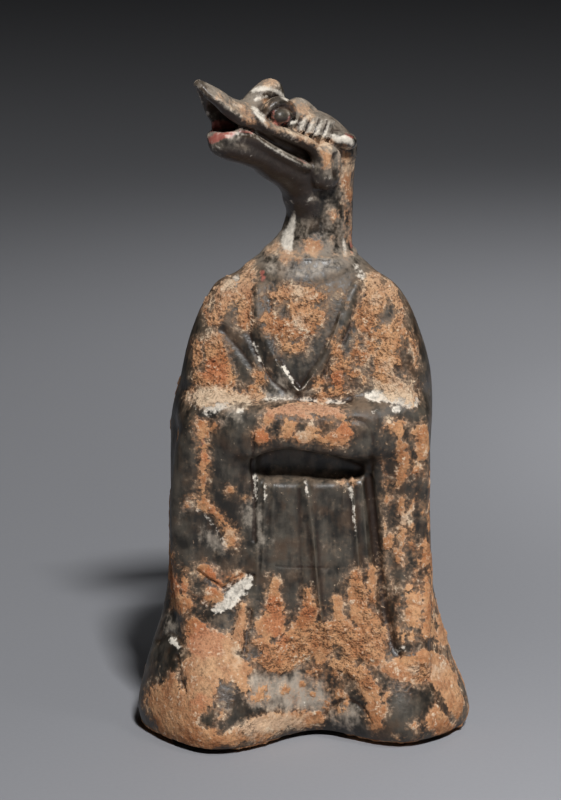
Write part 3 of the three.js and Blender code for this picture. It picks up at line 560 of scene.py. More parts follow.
class Figure:
    """The figure's forms, placed in a block of clay."""

    def __init__(self, sizes, step):
        self.wide = sizes.width / MILLIMETRE / DRAWN_WIDTH
        self.deep = sizes.depth / MILLIMETRE / DRAWN_DEPTH
        self.tall = sizes.height / MILLIMETRE / DRAWN_HEIGHT
        self.turn = sizes.head_turn
        self.robe_width = DRAWN_WIDTH * self.wide
        self.robe_depth = DRAWN_DEPTH * self.deep
        self.robe_height = DRAWN_HEIGHT * self.tall
        margin = 3
        low = [BOX_LOW[i] / MILLIMETRE - margin for i in range(3)]
        high = [BOX_HIGH[i] / MILLIMETRE + margin for i in range(3)]
        self.clay = Clay(low, high, step)

    def level(self, z):
        """The robe's outline at a height: lean, half width, front and back, in millimetres."""
        share = z / self.robe_height
        lean, half, front, back = (self.curve(share, column) for column in ROBE_LEVELS.T[1:])
        width, depth = self.robe_width / 2, self.robe_depth / 2
        return lean * width, half * width, front * depth, back * depth

    @staticmethod
    def curve(share, column):
        """A smooth curve through a column of the robe's levels."""
        at = ROBE_LEVELS.T[0]
        slopes = np.gradient(column, at)
        i = np.clip(np.searchsorted(at, share, side="right") - 1, 0, len(at) - 2)
        gap = at[i + 1] - at[i]
        t = np.clip((share - at[i]) / gap, 0, 1)
        return (
            (1 + 2 * t) * (1 - t) ** 2 * column[i]
            + t * (1 - t) ** 2 * gap * slopes[i]
            + t * t * (3 - 2 * t) * column[i + 1]
            + t * t * (t - 1) * gap * slopes[i + 1]
        )

    def hem_swell(self, x, z):
        """How far the front of the hem swells out."""
        fade = 1 - smoothstep(z / self.robe_height, *LOBE_FADE)
        swell = sum(out * bell(x / self.robe_width, at, width) for at, width, out in HEM_LOBES)
        return self.robe_depth * swell * fade

    def back_relief(self, x, z):
        """A shallow groove down the spine, and broad soft folds in the back of the skirt."""
        u, v = x / self.robe_width, z / self.robe_height
        groove = smoothstep(v, *SPINE_RISE) * (1 - smoothstep(v, *SPINE_FADE))
        folds = smoothstep(v, *FOLD_RISE) * (1 - smoothstep(v, *FOLD_FADE))
        spine = -SPINE_DEPTH * bell(u, 0, SPINE_WIDTH) * groove
        return spine + FOLD_HEIGHT * np.cos(u * FOLD_WAVES) * folds

    def front(self, x, z):
        """The robe's y at a place on the front."""
        lean, half, front, _ = self.level(z)
        u = np.minimum(np.abs(x - lean) / half, SIDE_LIMIT)
        return -front * (1 - u**ROUNDNESS) ** (1 / ROUNDNESS) - self.hem_swell(x, z)

    def robe(self):
        """The body of the robe, level by level."""
        xs, ys, zs = self.clay.axes
        x = (xs - DRAWN_OFFSET[0])[:, None]
        y = (ys - DRAWN_OFFSET[1])[None, :]
        top = ROBE_LEVELS[-1, 0] * self.robe_height
        for i, z in enumerate(zs):
            if z > top + BODY_REACH:
                break
            lean, half, front, back = self.level(min(max(z, 0), top))
            depth = np.where(y < 0, front, back)
            u = np.abs(x - lean) / half
            v = np.abs(y) / depth
            size = (u**ROUNDNESS + v**ROUNDNESS) ** (1 / ROUNDNESS) + 1e-6
            slope = np.hypot(u ** (ROUNDNESS - 1) / half, v ** (ROUNDNESS - 1) / depth) + 1e-6
            facing = smoothstep((v / depth) / (np.hypot(u / half, v / depth) + 1e-6), *RELIEF_FACING)
            relief = np.where(y < 0, self.hem_swell(x, z), self.back_relief(x, z))
            low = max(0, 1 - max(z, 0) / HEM_ROUNDING)
            inset = HEM_INSET * (1 - math.sqrt(1 - low * low))
            inset += FOOT_INSET * (1 - smoothstep(z, *FOOT_TOP))
            distance = (size - 1) * size ** (ROUNDNESS - 1) / slope - relief * facing + inset
            self.clay.cells[:, :, i] = np.maximum(distance, z - top)

    def on_robe(self, rows, blend, corner=2.0, side=1, cut=False):
        """Adds or cuts a form on the front of the robe."""
        path = swept([
            (side * x * self.wide, z * self.tall, self.front(side * x * self.wide, z * self.tall) - out,
             across * self.wide, deep)
            for x, z, out, across, deep in rows
        ])
        path[:, 0] += DRAWN_OFFSET[0]
        path[:, 2] += DRAWN_OFFSET[1]
        radius = path[:, 3:].max() + ROBE_REACH
        low, high = path[:, :3].min(0) - radius, path[:, :3].max(0) + radius
        spans, x, y, z = self.clay.window(low[[0, 2, 1]], high[[0, 2, 1]])
        distance = limb_distance(x, z, y, path, corner)
        self.clay.join(spans, distance, blend, cut)

    def neck(self, blend):
        """The neck, level by level: it rises from the shoulders and is wider at its foot."""
        low, high = NECK[0, 0] * self.tall, NECK[-1, 0] * self.tall
        axis = np.array([HEAD_AXIS[0] + DRAWN_OFFSET[0], HEAD_AXIS[1] + DRAWN_OFFSET[1]])
        spans, x, y, z = self.clay.window(
            (*(axis - NECK_REACH), low - BODY_REACH), (*(axis + NECK_REACH), high + BODY_REACH),
        )
        level = np.clip(z, low, high) / self.tall
        at_x, at_y, across, deep = (np.interp(level, NECK[:, 0], column) for column in NECK.T[1:])
        u = np.abs(x - axis[0] - at_x) / across
        v = np.abs(y - axis[1] - at_y) / deep
        size = np.hypot(u, v) + 1e-4
        slope = np.hypot(u / across, v / deep) / size + 1e-4
        distance = np.maximum((size - 1) / slope, np.abs(z - (low + high) / 2) - (high - low) / 2)
        self.clay.join(spans, distance, blend)

    def on_head(self, rows, blend, side=1, cut=False):
        """Adds or cuts a form of the head."""
        path = swept([(p, q, side * w, across, deep) for p, q, w, across, deep in rows])
        cos, sin = math.cos(self.turn), math.sin(self.turn)
        x0, y0 = HEAD_AXIS[0] + DRAWN_OFFSET[0], HEAD_AXIS[1] + DRAWN_OFFSET[1]
        z0 = HEAD_BASE * self.tall
        x = x0 + path[:, 0] * cos + path[:, 2] * sin
        y = y0 + path[:, 0] * sin - path[:, 2] * cos
        points = np.stack([x, y, z0 + path[:, 1]], axis=1)
        radius = path[:, 3:].max() + HEAD_REACH
        spans, x, y, z = self.clay.window(points.min(0) - radius, points.max(0) + radius)
        p = (x - x0) * cos + (y - y0) * sin
        w = (x - x0) * sin - (y - y0) * cos
        distance = limb_distance(p, z - z0, w, path, 2)
        self.clay.join(spans, distance, blend, cut)

    def body(self):
        """The robe, arms, sleeves and cuffs."""
        self.robe()
        self.neck(8)
        self.on_robe(LEFT_SLEEVE, 3, corner=4)
        self.on_robe(RIGHT_SLEEVE, 3, corner=4)
        for side in (-1, 1):
            self.on_robe(UPPER_ARM, 8, side=side)
            self.on_robe(FOREARM, 4, corner=2.5, side=side)
        self.on_robe(CUFFS, 6, corner=4)
        self.on_robe(HOLLOW, 4, corner=3, cut=True)

    def head(self):
        """The dragon's head with its open mouth. Its far side has a lower brow."""
        self.on_head(SKULL, 3)
        self.on_head(LOWER_JAW, 2.5)
        self.on_head(CREST, 2)
        self.on_head(THROAT, 9)
        self.on_head(CROWN_BUMP, 1.5)
        for side in (-1, 1):
            self.on_head(SOCKET, 1, side, cut=True)
            self.on_head(RIB_BED, 1.5, side, cut=True)
        for side in (-1, 1):
            self.on_head(BROW if side == 1 else FAR_BROW, 1.2, side)
            self.on_head(EYEBALL, 0.2, side)
            self.on_head(CHEEK, 1.2, side)
            self.on_head(JOWL, 1, side)
            self.on_head(JOWL_HOLLOW, 1, side, cut=True)
            self.on_head(EAR, 0.5, side)
            for rib in RIBS:
                self.on_head(rib, 0.4, side)
        self.on_head(GAPE, 0.8, cut=True)
        self.on_head(PALATE, 1, cut=True)
        self.on_head(MOUTH_FLOOR, 0.8, cut=True)
        for side in (-1, 1):
            self.on_head(LOWER_LIP, 2.5, side)
            self.on_head(SLIT, 0.4, side, cut=True)
        self.on_head(FAR_LIP, 0.8)
        self.on_head(NEAR_LIP, 2.5)

    def mesh(self):
        """The whole figure as a mesh, cut flat underneath."""
        self.body()
        self.head()
        cells = self.clay.cells
        np.maximum(cells, -self.clay.axes[2][None, None, :], out=cells)
        return self.clay.mesh(NODE + "_clay")


class Drawing:
    """The front of the figure as the camera sees it, where lines and marks are drawn."""

    def __init__(self, points, normals):
        """Takes points of the surface in metres, and the way that it faces at each."""
        offset = points - np.array(AIM + CAMERA_BACK * CAMERA_DISTANCE)
        away = -(offset @ np.array(CAMERA_BACK))
        pixels = CAMERA_DISTANCE / PIXEL / away
        self.column = AXIS_COLUMN + offset[:, 0] * pixels
        self.row = PHOTO_HEIGHT / 2 - (offset @ np.array(CAMERA_UP)) * pixels
        facing = -(offset * normals).sum(axis=1) / np.linalg.norm(offset, axis=1)
        self.shown = smoothstep(facing, *FACING)

    def along(self, line, reach):
        """The points near a line: their numbers, their distance from its middle in half widths, and
        how deep they are inside its edge in pixels."""
        path = np.array(line, float).reshape(-1, 3)
        path = curve_through(path, 3) if len(path) > 2 else np.vstack([path, path[-1:]])
        low = (path[:, :2] - path[:, 2:]).min(axis=0) - reach
        high = (path[:, :2] + path[:, 2:]).max(axis=0) + reach
        near = np.flatnonzero(
            (self.column > low[0]) & (self.column < high[0]) & (self.row > low[1]) & (self.row < high[1])
        )
        column, row = self.column[near], self.row[near]
        inside = np.full(len(near), -1e3)
        share = np.full(len(near), 1e3)
        for (x0, y0, r0), (x1, y1, r1) in zip(path, path[1:]):
            dx, dy = x1 - x0, y1 - y0
            t = np.clip(((column - x0) * dx + (row - y0) * dy) / (dx * dx + dy * dy + 1e-9), 0, 1)
            half = r0 + t * (r1 - r0)
            gap = np.hypot(column - x0 - t * dx, row - y0 - t * dy)
            deeper = half - gap > inside
            inside = np.where(deeper, half - gap, inside)
            share = np.where(deeper, gap / half, share)
        return near, share, inside

    def lift(self):
        """How far the drawn lines raise the surface, in millimetres."""
        lift = np.zeros(len(self.column))
        for height, *line in ROLLS:
            near, share, _ = self.along(line, 0)
            lift[near] += height * np.clip(1 - share**2, 0, 1) ** 1.5
        for height, *line in RIDGES:
            near, share, _ = self.along(line, LINE_REACH)
            lift[near] += height * np.exp(-(share**2))
        return lift * self.shown

    def depth(self, marks):
        """How deep each point is inside the nearest mark, in millimetres. Outside it is less than 0."""
        depth = np.full(len(self.column), -float(MARK_REACH))
        for line in marks:
            near, _, inside = self.along(line, MARK_REACH)
            depth[near] = np.maximum(depth[near], inside)
        depth = depth * self.shown - MARK_REACH * (1 - self.shown)
        return depth * PIXEL / MILLIMETRE


def store(mesh, name, values):
    """Keeps a number at each vertex, under a name that node trees can read."""
    attribute = mesh.attributes.new(name, "FLOAT", "POINT")
    attribute.data.foreach_set("value", values.astype(np.float32))


def draw_on(mesh):
    """Raises the drawn lines on the front of the figure, and keeps its marks as attributes."""
    points = np.empty(len(mesh.vertices) * 3, np.float32)
    normals = np.empty_like(points)
    mesh.vertices.foreach_get("co", points)
    mesh.vertex_normals.foreach_get("vector", normals)
    points = points.reshape(-1, 3)
    normals = normals.reshape(-1, 3)
    drawing = Drawing(points, normals)
    above_floor = smoothstep(points[:, 2], 0, LINES_FADE * MILLIMETRE)
    lift = drawing.lift() * above_floor * MILLIMETRE
    mesh.vertices.foreach_set("co", (points + normals * lift[:, None]).astype(np.float32).ravel())
    store(mesh, "shown", drawing.shown)
    store(mesh, "upward", normals[:, 2])
    for name, marks in MARKS.items():
        store(mesh, name, drawing.depth(marks))
    mesh.update()


class Value:
    """A number in a node tree. Sums with it add the tree's Math nodes."""

    def __init__(self, tree, socket):
        self.tree = tree
        self.socket = socket

    def maths(self, operation, *values):
        return self.tree.node("ShaderNodeMath", {"operation": operation}, dict(enumerate(values)))

    def __add__(self, other):
        return self.maths("ADD", self, other)

    def __radd__(self, other):
        return self.maths("ADD", other, self)

    def __sub__(self, other):
        return self.maths("SUBTRACT", self, other)

    def __rsub__(self, other):
        return self.maths("SUBTRACT", other, self)

    def __mul__(self, other):
        return self.maths("MULTIPLY", self, other)

    def __rmul__(self, other):
        return self.maths("MULTIPLY", other, self)

    def __neg__(self):
        return self.maths("MULTIPLY", self, -1)

    def least(self, other):
        return self.maths("MINIMUM", self, other)

    def most(self, other):
        return self.maths("MAXIMUM", self, other)

    def rise(self, low, high):
        """A smooth rise from 0 at low to 1 at high."""
        return self.tree.node(
            "ShaderNodeMapRange", {"interpolation_type": "SMOOTHSTEP"},
            {"Value": self, "From Min": low, "From Max": high},
        )


def between(first, second, share):
    """A number between two others."""
    return first + (second - first) * share


class Tree:
    """Adds nodes to a shader tree or to a Geometry Nodes tree."""

    def __init__(self, nodes_and_links, position):
        """Takes an empty tree, and what node() needs to make the node that gives the position."""
        self.tree = nodes_and_links
        self.tree.nodes.clear()
        self.position = self.node(*position)

    def node(self, kind, settings=None, inputs=None, output=0):
        """Adds a node, sets it, feeds it values or links, and returns one of its outputs."""
        node = self.tree.nodes.new(kind)
        for name, setting in (settings or {}).items():
            setattr(node, name, setting)
        for key, value in (inputs or {}).items():
            if isinstance(value, Value):
                self.tree.links.new(value.socket, node.inputs[key])
            else:
                node.inputs[key].default_value = value
        return Value(self, node.outputs[output]) if node.outputs else None

    def place(self, stretch, seed):
        """The position, stretched along X, Y and Z, in a part of the pattern that the seed picks."""
        shift = self.node("ShaderNodeCombineXYZ", inputs={axis: seed * SEED_SHIFT for axis in "XYZ"})
        return self.node(
            "ShaderNodeVectorMath", {"operation": "MULTIPLY_ADD"}, {0: self.position, 1: stretch, 2: shift},
        )

    def noise(self, size, detail=2.0, seed=0, stretch=(1, 1, 1)):
        """Soft noise about 0, between -0.5 and 0.5, with lumps of a size in millimetres."""
        return self.node(
            "ShaderNodeTexNoise", None,
            {"Vector": self.place(stretch, seed), "Scale": 1 / (size * MILLIMETRE), "Detail": detail},
        ) - 0.5

    def lumps(self, size, seed=0):
        """Packed rounded lumps of a size in millimetres: 1 at their middles and about 0 between them."""
        return 1 - self.node(
            "ShaderNodeTexVoronoi", None,
            {"Vector": self.place((1, 1, 1), seed), "Scale": 1 / (size * MILLIMETRE)},
        ) * 1.3

    def blend(self, below, above, mask):
        """A colour laid over another where the mask is 1. The Mix node's colours are inputs 6 and 7."""
        return self.node(
            "ShaderNodeMix", {"data_type": "RGBA"}, {"Factor": mask, 6: below, 7: above}, output=2,
        )


def crust_tree():
    """The Geometry Nodes tree that raises a crust where earth clings to the surface. Its weights and
    limits, in millimetres, were chosen against the photograph."""
    group = bpy.data.node_groups.new("clinging_earth", "GeometryNodeTree")
    for name, kind in (
        ("Geometry", "Geometry"), ("Crust Height", "Float"), ("Grain Height", "Float"),
        ("Clod Height", "Float"), ("Unevenness", "Float"), ("Seed", "Float"), ("Material", "Material"),
    ):
        group.interface.new_socket(name, in_out="INPUT", socket_type="NodeSocket" + kind)
    group.interface.new_socket("Geometry", in_out="OUTPUT", socket_type="NodeSocketGeometry")
    tree = Tree(group, ("GeometryNodeInputPosition",))
    given = group.nodes.new("NodeGroupInput").outputs
    geometry, crust, grain, clod, uneven, seed, material = (Value(tree, given[i]) for i in range(7))

    def stored(name):
        return tree.node("GeometryNodeInputNamedAttribute", {"data_type": "FLOAT"}, {"Name": name})

    def keep(geometry, name, value):
        return tree.node(
            "GeometryNodeStoreNamedAttribute", {"data_type": "FLOAT", "domain": "POINT"},
            {"Geometry": geometry, "Name": name, "Value": value},
        )

    height = tree.node("ShaderNodeSeparateXYZ", inputs={0: tree.position}, output=2) * (1 / MILLIMETRE)
    shown = stored("shown")
    near_hem = 1 - height.rise(*HEM_LEVEL)
    hidden_earth = tree.noise(30, detail=3, seed=seed) * 62 + near_hem * 7 - 8
    mottle = tree.noise(7, detail=4, seed=seed + 4, stretch=(1, 1, 0.55)) * 22 - 0.6
    drawn_earth = stored("earth").most(mottle.least(stored("mottled"))).least(-stored("bare"))
    gritty = height.rise(*CHEST_LEVEL)
    thick = 1 - height.rise(*NECK_LEVEL) * 0.8
    ragged = tree.noise(8, detail=4, seed=seed + 1) * 8 + tree.noise(2.4, detail=3, seed=seed + 2) * 4
    earth = between(hidden_earth, drawn_earth, shown) + ragged
    clods = between(hidden_earth - 6 + near_hem * 4, stored("clods"), shown) + ragged
    geometry = keep(geometry, "crust", earth)
    crumbs = tree.lumps(3.6, seed) * 0.5 + tree.lumps(2, seed + 3) * 0.3
    crumbs = crumbs + tree.noise(1.8, detail=2, seed=seed) * 0.9
    cover = earth.rise(-0.5, 1.8)
    raised = cover * thick * (crust + grain * (0.3 + 0.7 * gritty) * (crumbs * 1.6 - 0.4))
    clotted = tree.lumps(6.5, seed) + crumbs * 0.5 - 0.3
    raised = raised + clods.rise(0, 3) * cover * clod * clotted * (0.45 + 0.55 * shown)
    waves = tree.noise(16, detail=2, seed=seed)
    waves = waves + tree.noise(5, detail=1, seed=seed, stretch=(1, 1, 0.3)) * 0.3
    raised = raised + uneven * waves - LOWERED
    raised = raised * height.rise(*FOOT_LEVEL) * MILLIMETRE
    geometry = keep(geometry, "crumbs", crumbs)
    normal = tree.node("GeometryNodeInputNormal")
    offset = tree.node("ShaderNodeVectorMath", {"operation": "SCALE"}, {0: normal, "Scale": raised})
    geometry = tree.node("GeometryNodeSetPosition", inputs={"Geometry": geometry, "Offset": offset})
    smooth = tree.node(
        "GeometryNodeBlurAttribute", {"data_type": "FLOAT_VECTOR"},
        {"Value": tree.position, "Iterations": BLUR_STEPS},
    )
    sunk = tree.node("ShaderNodeVectorMath", {"operation": "SUBTRACT"}, {0: smooth, 1: tree.position})
    sunk = tree.node("ShaderNodeVectorMath", {"operation": "DOT_PRODUCT"}, {0: sunk, 1: normal}, "Value")
    geometry = keep(geometry, "hollow", sunk * (1 / MILLIMETRE))
    geometry = tree.node("GeometryNodeRealizeInstances", inputs={"Geometry": geometry})
    geometry = tree.node("GeometryNodeSetMaterial", inputs={"Geometry": geometry, "Material": material})
    tree.node("NodeGroupOutput", inputs={"Geometry": geometry})
    return group


def linear(red, green, blue):
    """A colour given as it looks on a screen, from 0 to 255, as the renderer takes it."""
    return (*((value / 255) ** SCREEN_GAMMA for value in (red, green, blue)), 1)


def earthenware(finish):
    """Grey burnished earthenware with earth, slip and red paint on it. Masks run from 0 to 1, and their
    weights and limits were chosen against the photograph."""
    material = bpy.data.materials.new("earthenware")
    material.use_nodes = True
    tree = Tree(material.node_tree, ("ShaderNodeTexCoord", None, None, "Object"))

    def stored(name):
        return tree.node("ShaderNodeAttribute", {"attribute_name": name}, output="Fac")

    crust = stored("crust")
    hollow = stored("hollow")
    height = tree.node("ShaderNodeSeparateXYZ", None, {0: tree.position}, 2) * (1 / MILLIMETRE)
    crumbs = stored("crumbs")
    gritty = height.rise(*CHEST_LEVEL).most(stored("clods").rise(-1, 2))
    upward = stored("upward").rise(0.1, 0.9)
    head = height.rise(*NECK_LEVEL)
    # Downward-facing parts of the head: there the clay is painted darker, less brown and with less film, as
    # painted shade
    under = head * (1 - stored("upward").rise(-0.6, 0.15))
    broad = tree.noise(24, detail=4, seed=4)
    coarse = tree.noise(5, detail=5, seed=2)
    fine = tree.noise(1.5, detail=4, seed=1)
    grain = tree.noise(0.9, detail=2, seed=8)
    streaks = tree.noise(2.6, detail=4, seed=3, stretch=(1, 1, 0.25))

    # Grey clay, with brownish stain in it, painted darker in the hollows and under the head as painted
    # shade
    tone = (broad * 1.3 + streaks * 0.8 + coarse * 1.4 - hollow * 0.5 - under * 0.3).rise(-0.3, 0.45)
    colour = tree.blend(finish.dark_clay, finish.light_clay, tone)
    brown = (tree.noise(11, detail=5, seed=5) * 1.6 + streaks * 0.5).rise(-0.05, 0.4)
    colour = tree.blend(colour, finish.brown_clay, brown * (0.7 - head * 0.3 - under * 0.3))

    # A film of dust, a pale bloom, and painted shade in the hollows and under the head
    near_earth = (crust + coarse * 10 + fine * 6).rise(-5, 0.6)
    dusty = upward * 0.36 + height.rise(*DUST_LEVEL) * 0.16 + near_earth * 0.25
    dark = stored("bare").rise(-0.6, 0.6)
    film = (tree.noise(6, detail=6, seed=6) * 1.6 + streaks * 0.5 + fine * 0.9 + dusty).rise(0.0, 0.7) * 0.6
    # Less film under the head keeps it dark there, as painted shade
    film = film * (1 - (under * 0.9).most(dark * 0.8))
    powder = tree.blend(finish.dust, finish.pale_film, (head * 0.7 + broad).rise(0, 1))
    colour = tree.blend(colour, powder, film)
    colour = tree.blend(colour, finish.brown_clay, near_earth * (0.5 - head * 0.25))
    pale = (stored("pale") + coarse * 14 + streaks * 8 + fine * 10).rise(-3, 8) * (0.85 + coarse * 1.2)
    colour = tree.blend(colour, finish.pale_film, pale)
    # Painted shade: a dark colour laid in the hollows and on the head's underside
    painted_shade = ((hollow * 1.6 + coarse * 0.8).rise(0.15, 0.6) * 0.75).most(under * (0.7 + streaks))
    colour = tree.blend(colour, finish.pits_and_shade, painted_shade)

    # Red paint and white slip
    red = (stored("red") + coarse * 2.5 + fine * 2.5).rise(-0.5, 0.7) * 0.7
    colour = tree.blend(colour, finish.red_paint, red)
    slip = (stored("slip") + (coarse * 4 + fine * 4) * (1 - head * 0.7)).rise(-0.4, 0.9)
    worn = (coarse * 1.4 + fine * 0.9 - hollow * 1.1).rise(0.3, 0.65) * (1 - dark)
    worn = worn * height.rise(*WEAR_LEVEL) * 0.5
    slip = slip.most(worn) * (0.78 + (fine * 2 + coarse * 1.4) * (1 - head * 0.5))
    colour = tree.blend(colour, finish.slip, slip)

    # Where earth lies, and its colours, with painted shade in its pits and painted highlights on its grains
    # and on faces that point up
    flecks = (grain * 1.1 + fine * 0.9 + near_earth * 0.2).rise(0.34, 0.42) * (1 - dark) * 0.6
    thin = (crust + coarse * 8 + fine * 9).rise(-2.6, 1.2) * 0.45
    earth = (crust + coarse * 5 + fine * 5).rise(-0.4, 0.5).most(flecks).most(thin)
    smear = (crust + coarse * 7 + fine * 7).rise(-1.8, 2.2) * 0.85
    earth = between(earth, smear, head)
    deep = (tree.noise(9, detail=4, seed=9) * 1.2 + coarse * 0.8 + grain * 0.8).rise(-0.3, 0.3)
    soil = tree.blend(finish.earth, finish.deep_earth, deep)
    warm = (stored("warm") + coarse * 12).rise(-2, 3)
    soil = tree.blend(soil, finish.rust, warm * 0.6)
    # Chalky yellow earth where marked, and cream on faces that point up as a painted highlight
    yellow = (stored("yellow") + coarse * 14 + fine * 8).rise(-2, 4)
    soil = tree.blend(soil, finish.cream, (yellow * 0.5 + upward * 0.3).least(0.7))
    chalk = (coarse * 1.2 + fine * 0.9 + grain * 0.5 + crumbs * 0.3).rise(0.2, 0.5) * 0.75
    soil = tree.blend(soil, finish.cream, chalk)
    rim = (crust + coarse * 5 + fine * 4).rise(1.4, 0.2) * (coarse * 2 + broad).rise(-0.1, 0.3)
    soil = tree.blend(soil, finish.cream, rim * 0.45)
    # The pits between the grains are darkened, partly dirt and partly painted shade, and the grains' tops
    # are laid cream as painted highlight
    bits = crumbs * 0.5 + grain * 1.7 + fine * 0.9 + 0.16
    pits = bits.rise(0.36, -0.1) * (0.4 + 0.35 * gritty) * (1 - (head * 0.7).most(yellow * 0.5))
    soil = tree.blend(soil, finish.pits_and_shade, pits)
    soil = tree.blend(soil, finish.cream, bits.rise(0.48, 0.8) * 0.45)
    worn_through = (coarse + fine * 0.8 + broad * 0.6).rise(-0.14, -0.44) * 0.45
    colour = tree.blend(colour, soil, earth * (1 - worn_through))

    # Gloss and fine relief
    polished = 0.42 - head * 0.06 + broad * 0.3 - streaks * 0.2 + fine * 0.15
    roughness = between(polished, 0.8, slip.most(film))
    roughness = between(roughness, 0.95, earth)
    rough = (grain * 1.1 + fine * 0.8 + crumbs * 0.8) * (0.35 + 0.65 * gritty) * (1 - head * 0.6)
    bumps = earth * (rough + 0.1)
    bumps = bumps + (1 - earth) * (streaks * 0.12 + fine * 0.16 + coarse * 0.2) + slip * 0.05
    normal = tree.node("ShaderNodeBump", None, {"Height": bumps, "Distance": MILLIMETRE, "Strength": 1.0})
    surface = tree.node(
        "ShaderNodeBsdfPrincipled", None,
        {"Base Color": colour, "Roughness": roughness, "Normal": normal},
    )
    tree.node("ShaderNodeOutputMaterial", None, {"Surface": surface})
    return material


def floor_material(finish):
    """Plain pale matt paper."""
    material = bpy.data.materials.new("pale_paper")
    material.use_nodes = True
    tree = Tree(material.node_tree, ("ShaderNodeTexCoord", None, None, "Object"))
    shade = tuple(FLOOR_SHADE * value for value in finish.floor[:3]) + (1,)
    colour = tree.blend(shade, finish.floor, tree.noise(2, detail=2).rise(-0.3, 0.3))
    surface = tree.node("ShaderNodeBsdfPrincipled", None, {"Base Color": colour, "Roughness": 0.9})
    tree.node("ShaderNodeOutputMaterial", None, {"Surface": surface})
    return material


def thinned(piece, most):
    """The finished surface of a piece as a plain mesh, with at most so many triangles."""
    triangles = 2 * len(piece.data.polygons)  # each face has four sides
    decimate = piece.modifiers.new("thin", "DECIMATE")
    decimate.ratio = min(1, most / triangles)
    graph = bpy.context.evaluated_depsgraph_get()
    return bpy.data.meshes.new_from_object(
        piece.evaluated_get(graph), preserve_all_data_layers=True, depsgraph=graph,
    )


def length(name, description, default, low, high):
    """A length property, in metres."""
    return bpy.props.FloatProperty(
        name=name, description=description, default=default, min=low, max=high, precision=4, unit="LENGTH",
        subtype="DISTANCE",
    )


def tint(name, description, red, green, blue):
    """A colour property."""
    return bpy.props.FloatVectorProperty(
        name=name, description=description, default=linear(red, green, blue), size=4, min=0, max=1,
        subtype="COLOR",
    )


def power(name, description, default):
    """The power of a light, in watts."""
    return bpy.props.FloatProperty(name=name, description=description, default=default, min=0, unit="POWER")


class FigureSizes(bpy.types.PropertyGroup):
    """Sizes of the figure."""

    height: length("Height", "Height of the whole figure", BOX_HIGH.z, 0.1, 1)
    width: length("Width", "Width of the hem", BOX_HIGH.x - BOX_LOW.x, 0.05, 0.5)
    depth: length("Depth", "Depth of the hem", BOX_HIGH.y - BOX_LOW.y, 0.05, 0.5)
    head_turn: bpy.props.FloatProperty(
        name="Head Turn", description="How far the head is turned towards the viewer", default=HEAD_TURN,
        min=0, max=1.2, subtype="ANGLE", unit="ROTATION",
    )
    crust: length("Crust", "Thickness of the earth that clings to the figure", 0.0004, 0, 0.002)
    grain: length("Grain", "Height of the grains in the earth", 0.0009, 0, 0.002)
    clod: length("Clods", "Height of the clods near the hem", 0.0019, 0, 0.004)
    unevenness: length("Unevenness", "Height of the unevenness of the clay", 0.0004, 0, 0.002)


class FigureFinish(bpy.types.PropertyGroup):
    """Colours of the figure and of its stage."""

    dark_clay: tint("Dark Clay", "Burnished grey clay where it is darkest", 41, 38, 34)
    light_clay: tint("Light Clay", "Grey clay where it is lightest", 87, 81, 72)
    brown_clay: tint("Brown Clay", "Brownish stain in the grey clay", 86, 66, 50)
    dust: tint("Dust", "Thin film of dry earth", 136, 116, 96)
    pale_film: tint("Pale Film", "Pale grey film", 188, 175, 159)
    red_paint: tint("Red Paint", "Traces of red paint", 192, 104, 92)
    slip: tint("Slip", "Traces of white slip", 240, 230, 214)
    earth: tint("Earth", "Dry earth", 210, 158, 114)
    deep_earth: tint("Deep Earth", "Earth where it is darker", 172, 112, 72)
    rust: tint("Rust", "Earth with iron in it", 184, 104, 64)
    cream: tint("Cream", "Chalky earth", 230, 208, 178)
    # Also the colour of the painted shade in the hollows and under the head
    pits_and_shade: tint("Pits", "Small pits in the earth", 50, 36, 28)
    floor: tint("Floor", "Paper under the figure", 152, 153, 158)


class FigureStage(bpy.types.PropertyGroup):
    """The studio around the figure."""

    key_power: power("Key Light", "Power of the light on the figure", 58)
    front_power: power("Front Light", "Power of the light on the floor in front, on the right", 52)
    side_power: power("Side Light", "Power of the light on the floor at the right", 54)
    back_power: power("Back Light", "Power of the light on the floor behind the figure", 34)
    sky: bpy.props.FloatProperty(
        name="Room Light", description="Light from all around", default=0.015, min=0,
    )
    floor_size: length("Floor", "Length of the floor's sides", 16, 1, 50)


class FIGURE_OT_moulded_figure(bpy.types.Operator):
    """Model the moulded figure and its crust of earth"""

    bl_idname = "figure.moulded_figure"
    bl_label = "Moulded Figure"

    def execute(self, context):
        sizes = context.scene.figure_sizes
        step = STEP
        mesh = Figure(sizes, step).mesh()
        draw_on(mesh)
        material = earthenware(context.scene.figure_finish)
        rough = bpy.data.objects.new("rough_figure", mesh)
        context.scene.collection.objects.link(rough)
        crust = rough.modifiers.new("clinging_earth", "NODES")
        crust.node_group = crust_tree()
        values = {
            "Crust Height": sizes.crust / MILLIMETRE,
            "Grain Height": sizes.grain / MILLIMETRE,
            "Clod Height": sizes.clod / MILLIMETRE,
            "Unevenness": sizes.unevenness / MILLIMETRE,
            "Seed": CRUST_SEED,
            "Material": material,
        }
        for item in crust.node_group.interface.items_tree:
            if item.name in values:
                crust[item.identifier] = values[item.name]
        finished = thinned(rough, MOST_TRIANGLES)
        bpy.data.objects.remove(rough)
        finished.name = "moulded_figure"
        finished.shade_smooth()
        piece = bpy.data.objects.new("moulded_figure", finished)
        context.scene.collection.objects.link(piece)
        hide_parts(NODE)
        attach(piece, "root")
        return {"FINISHED"}


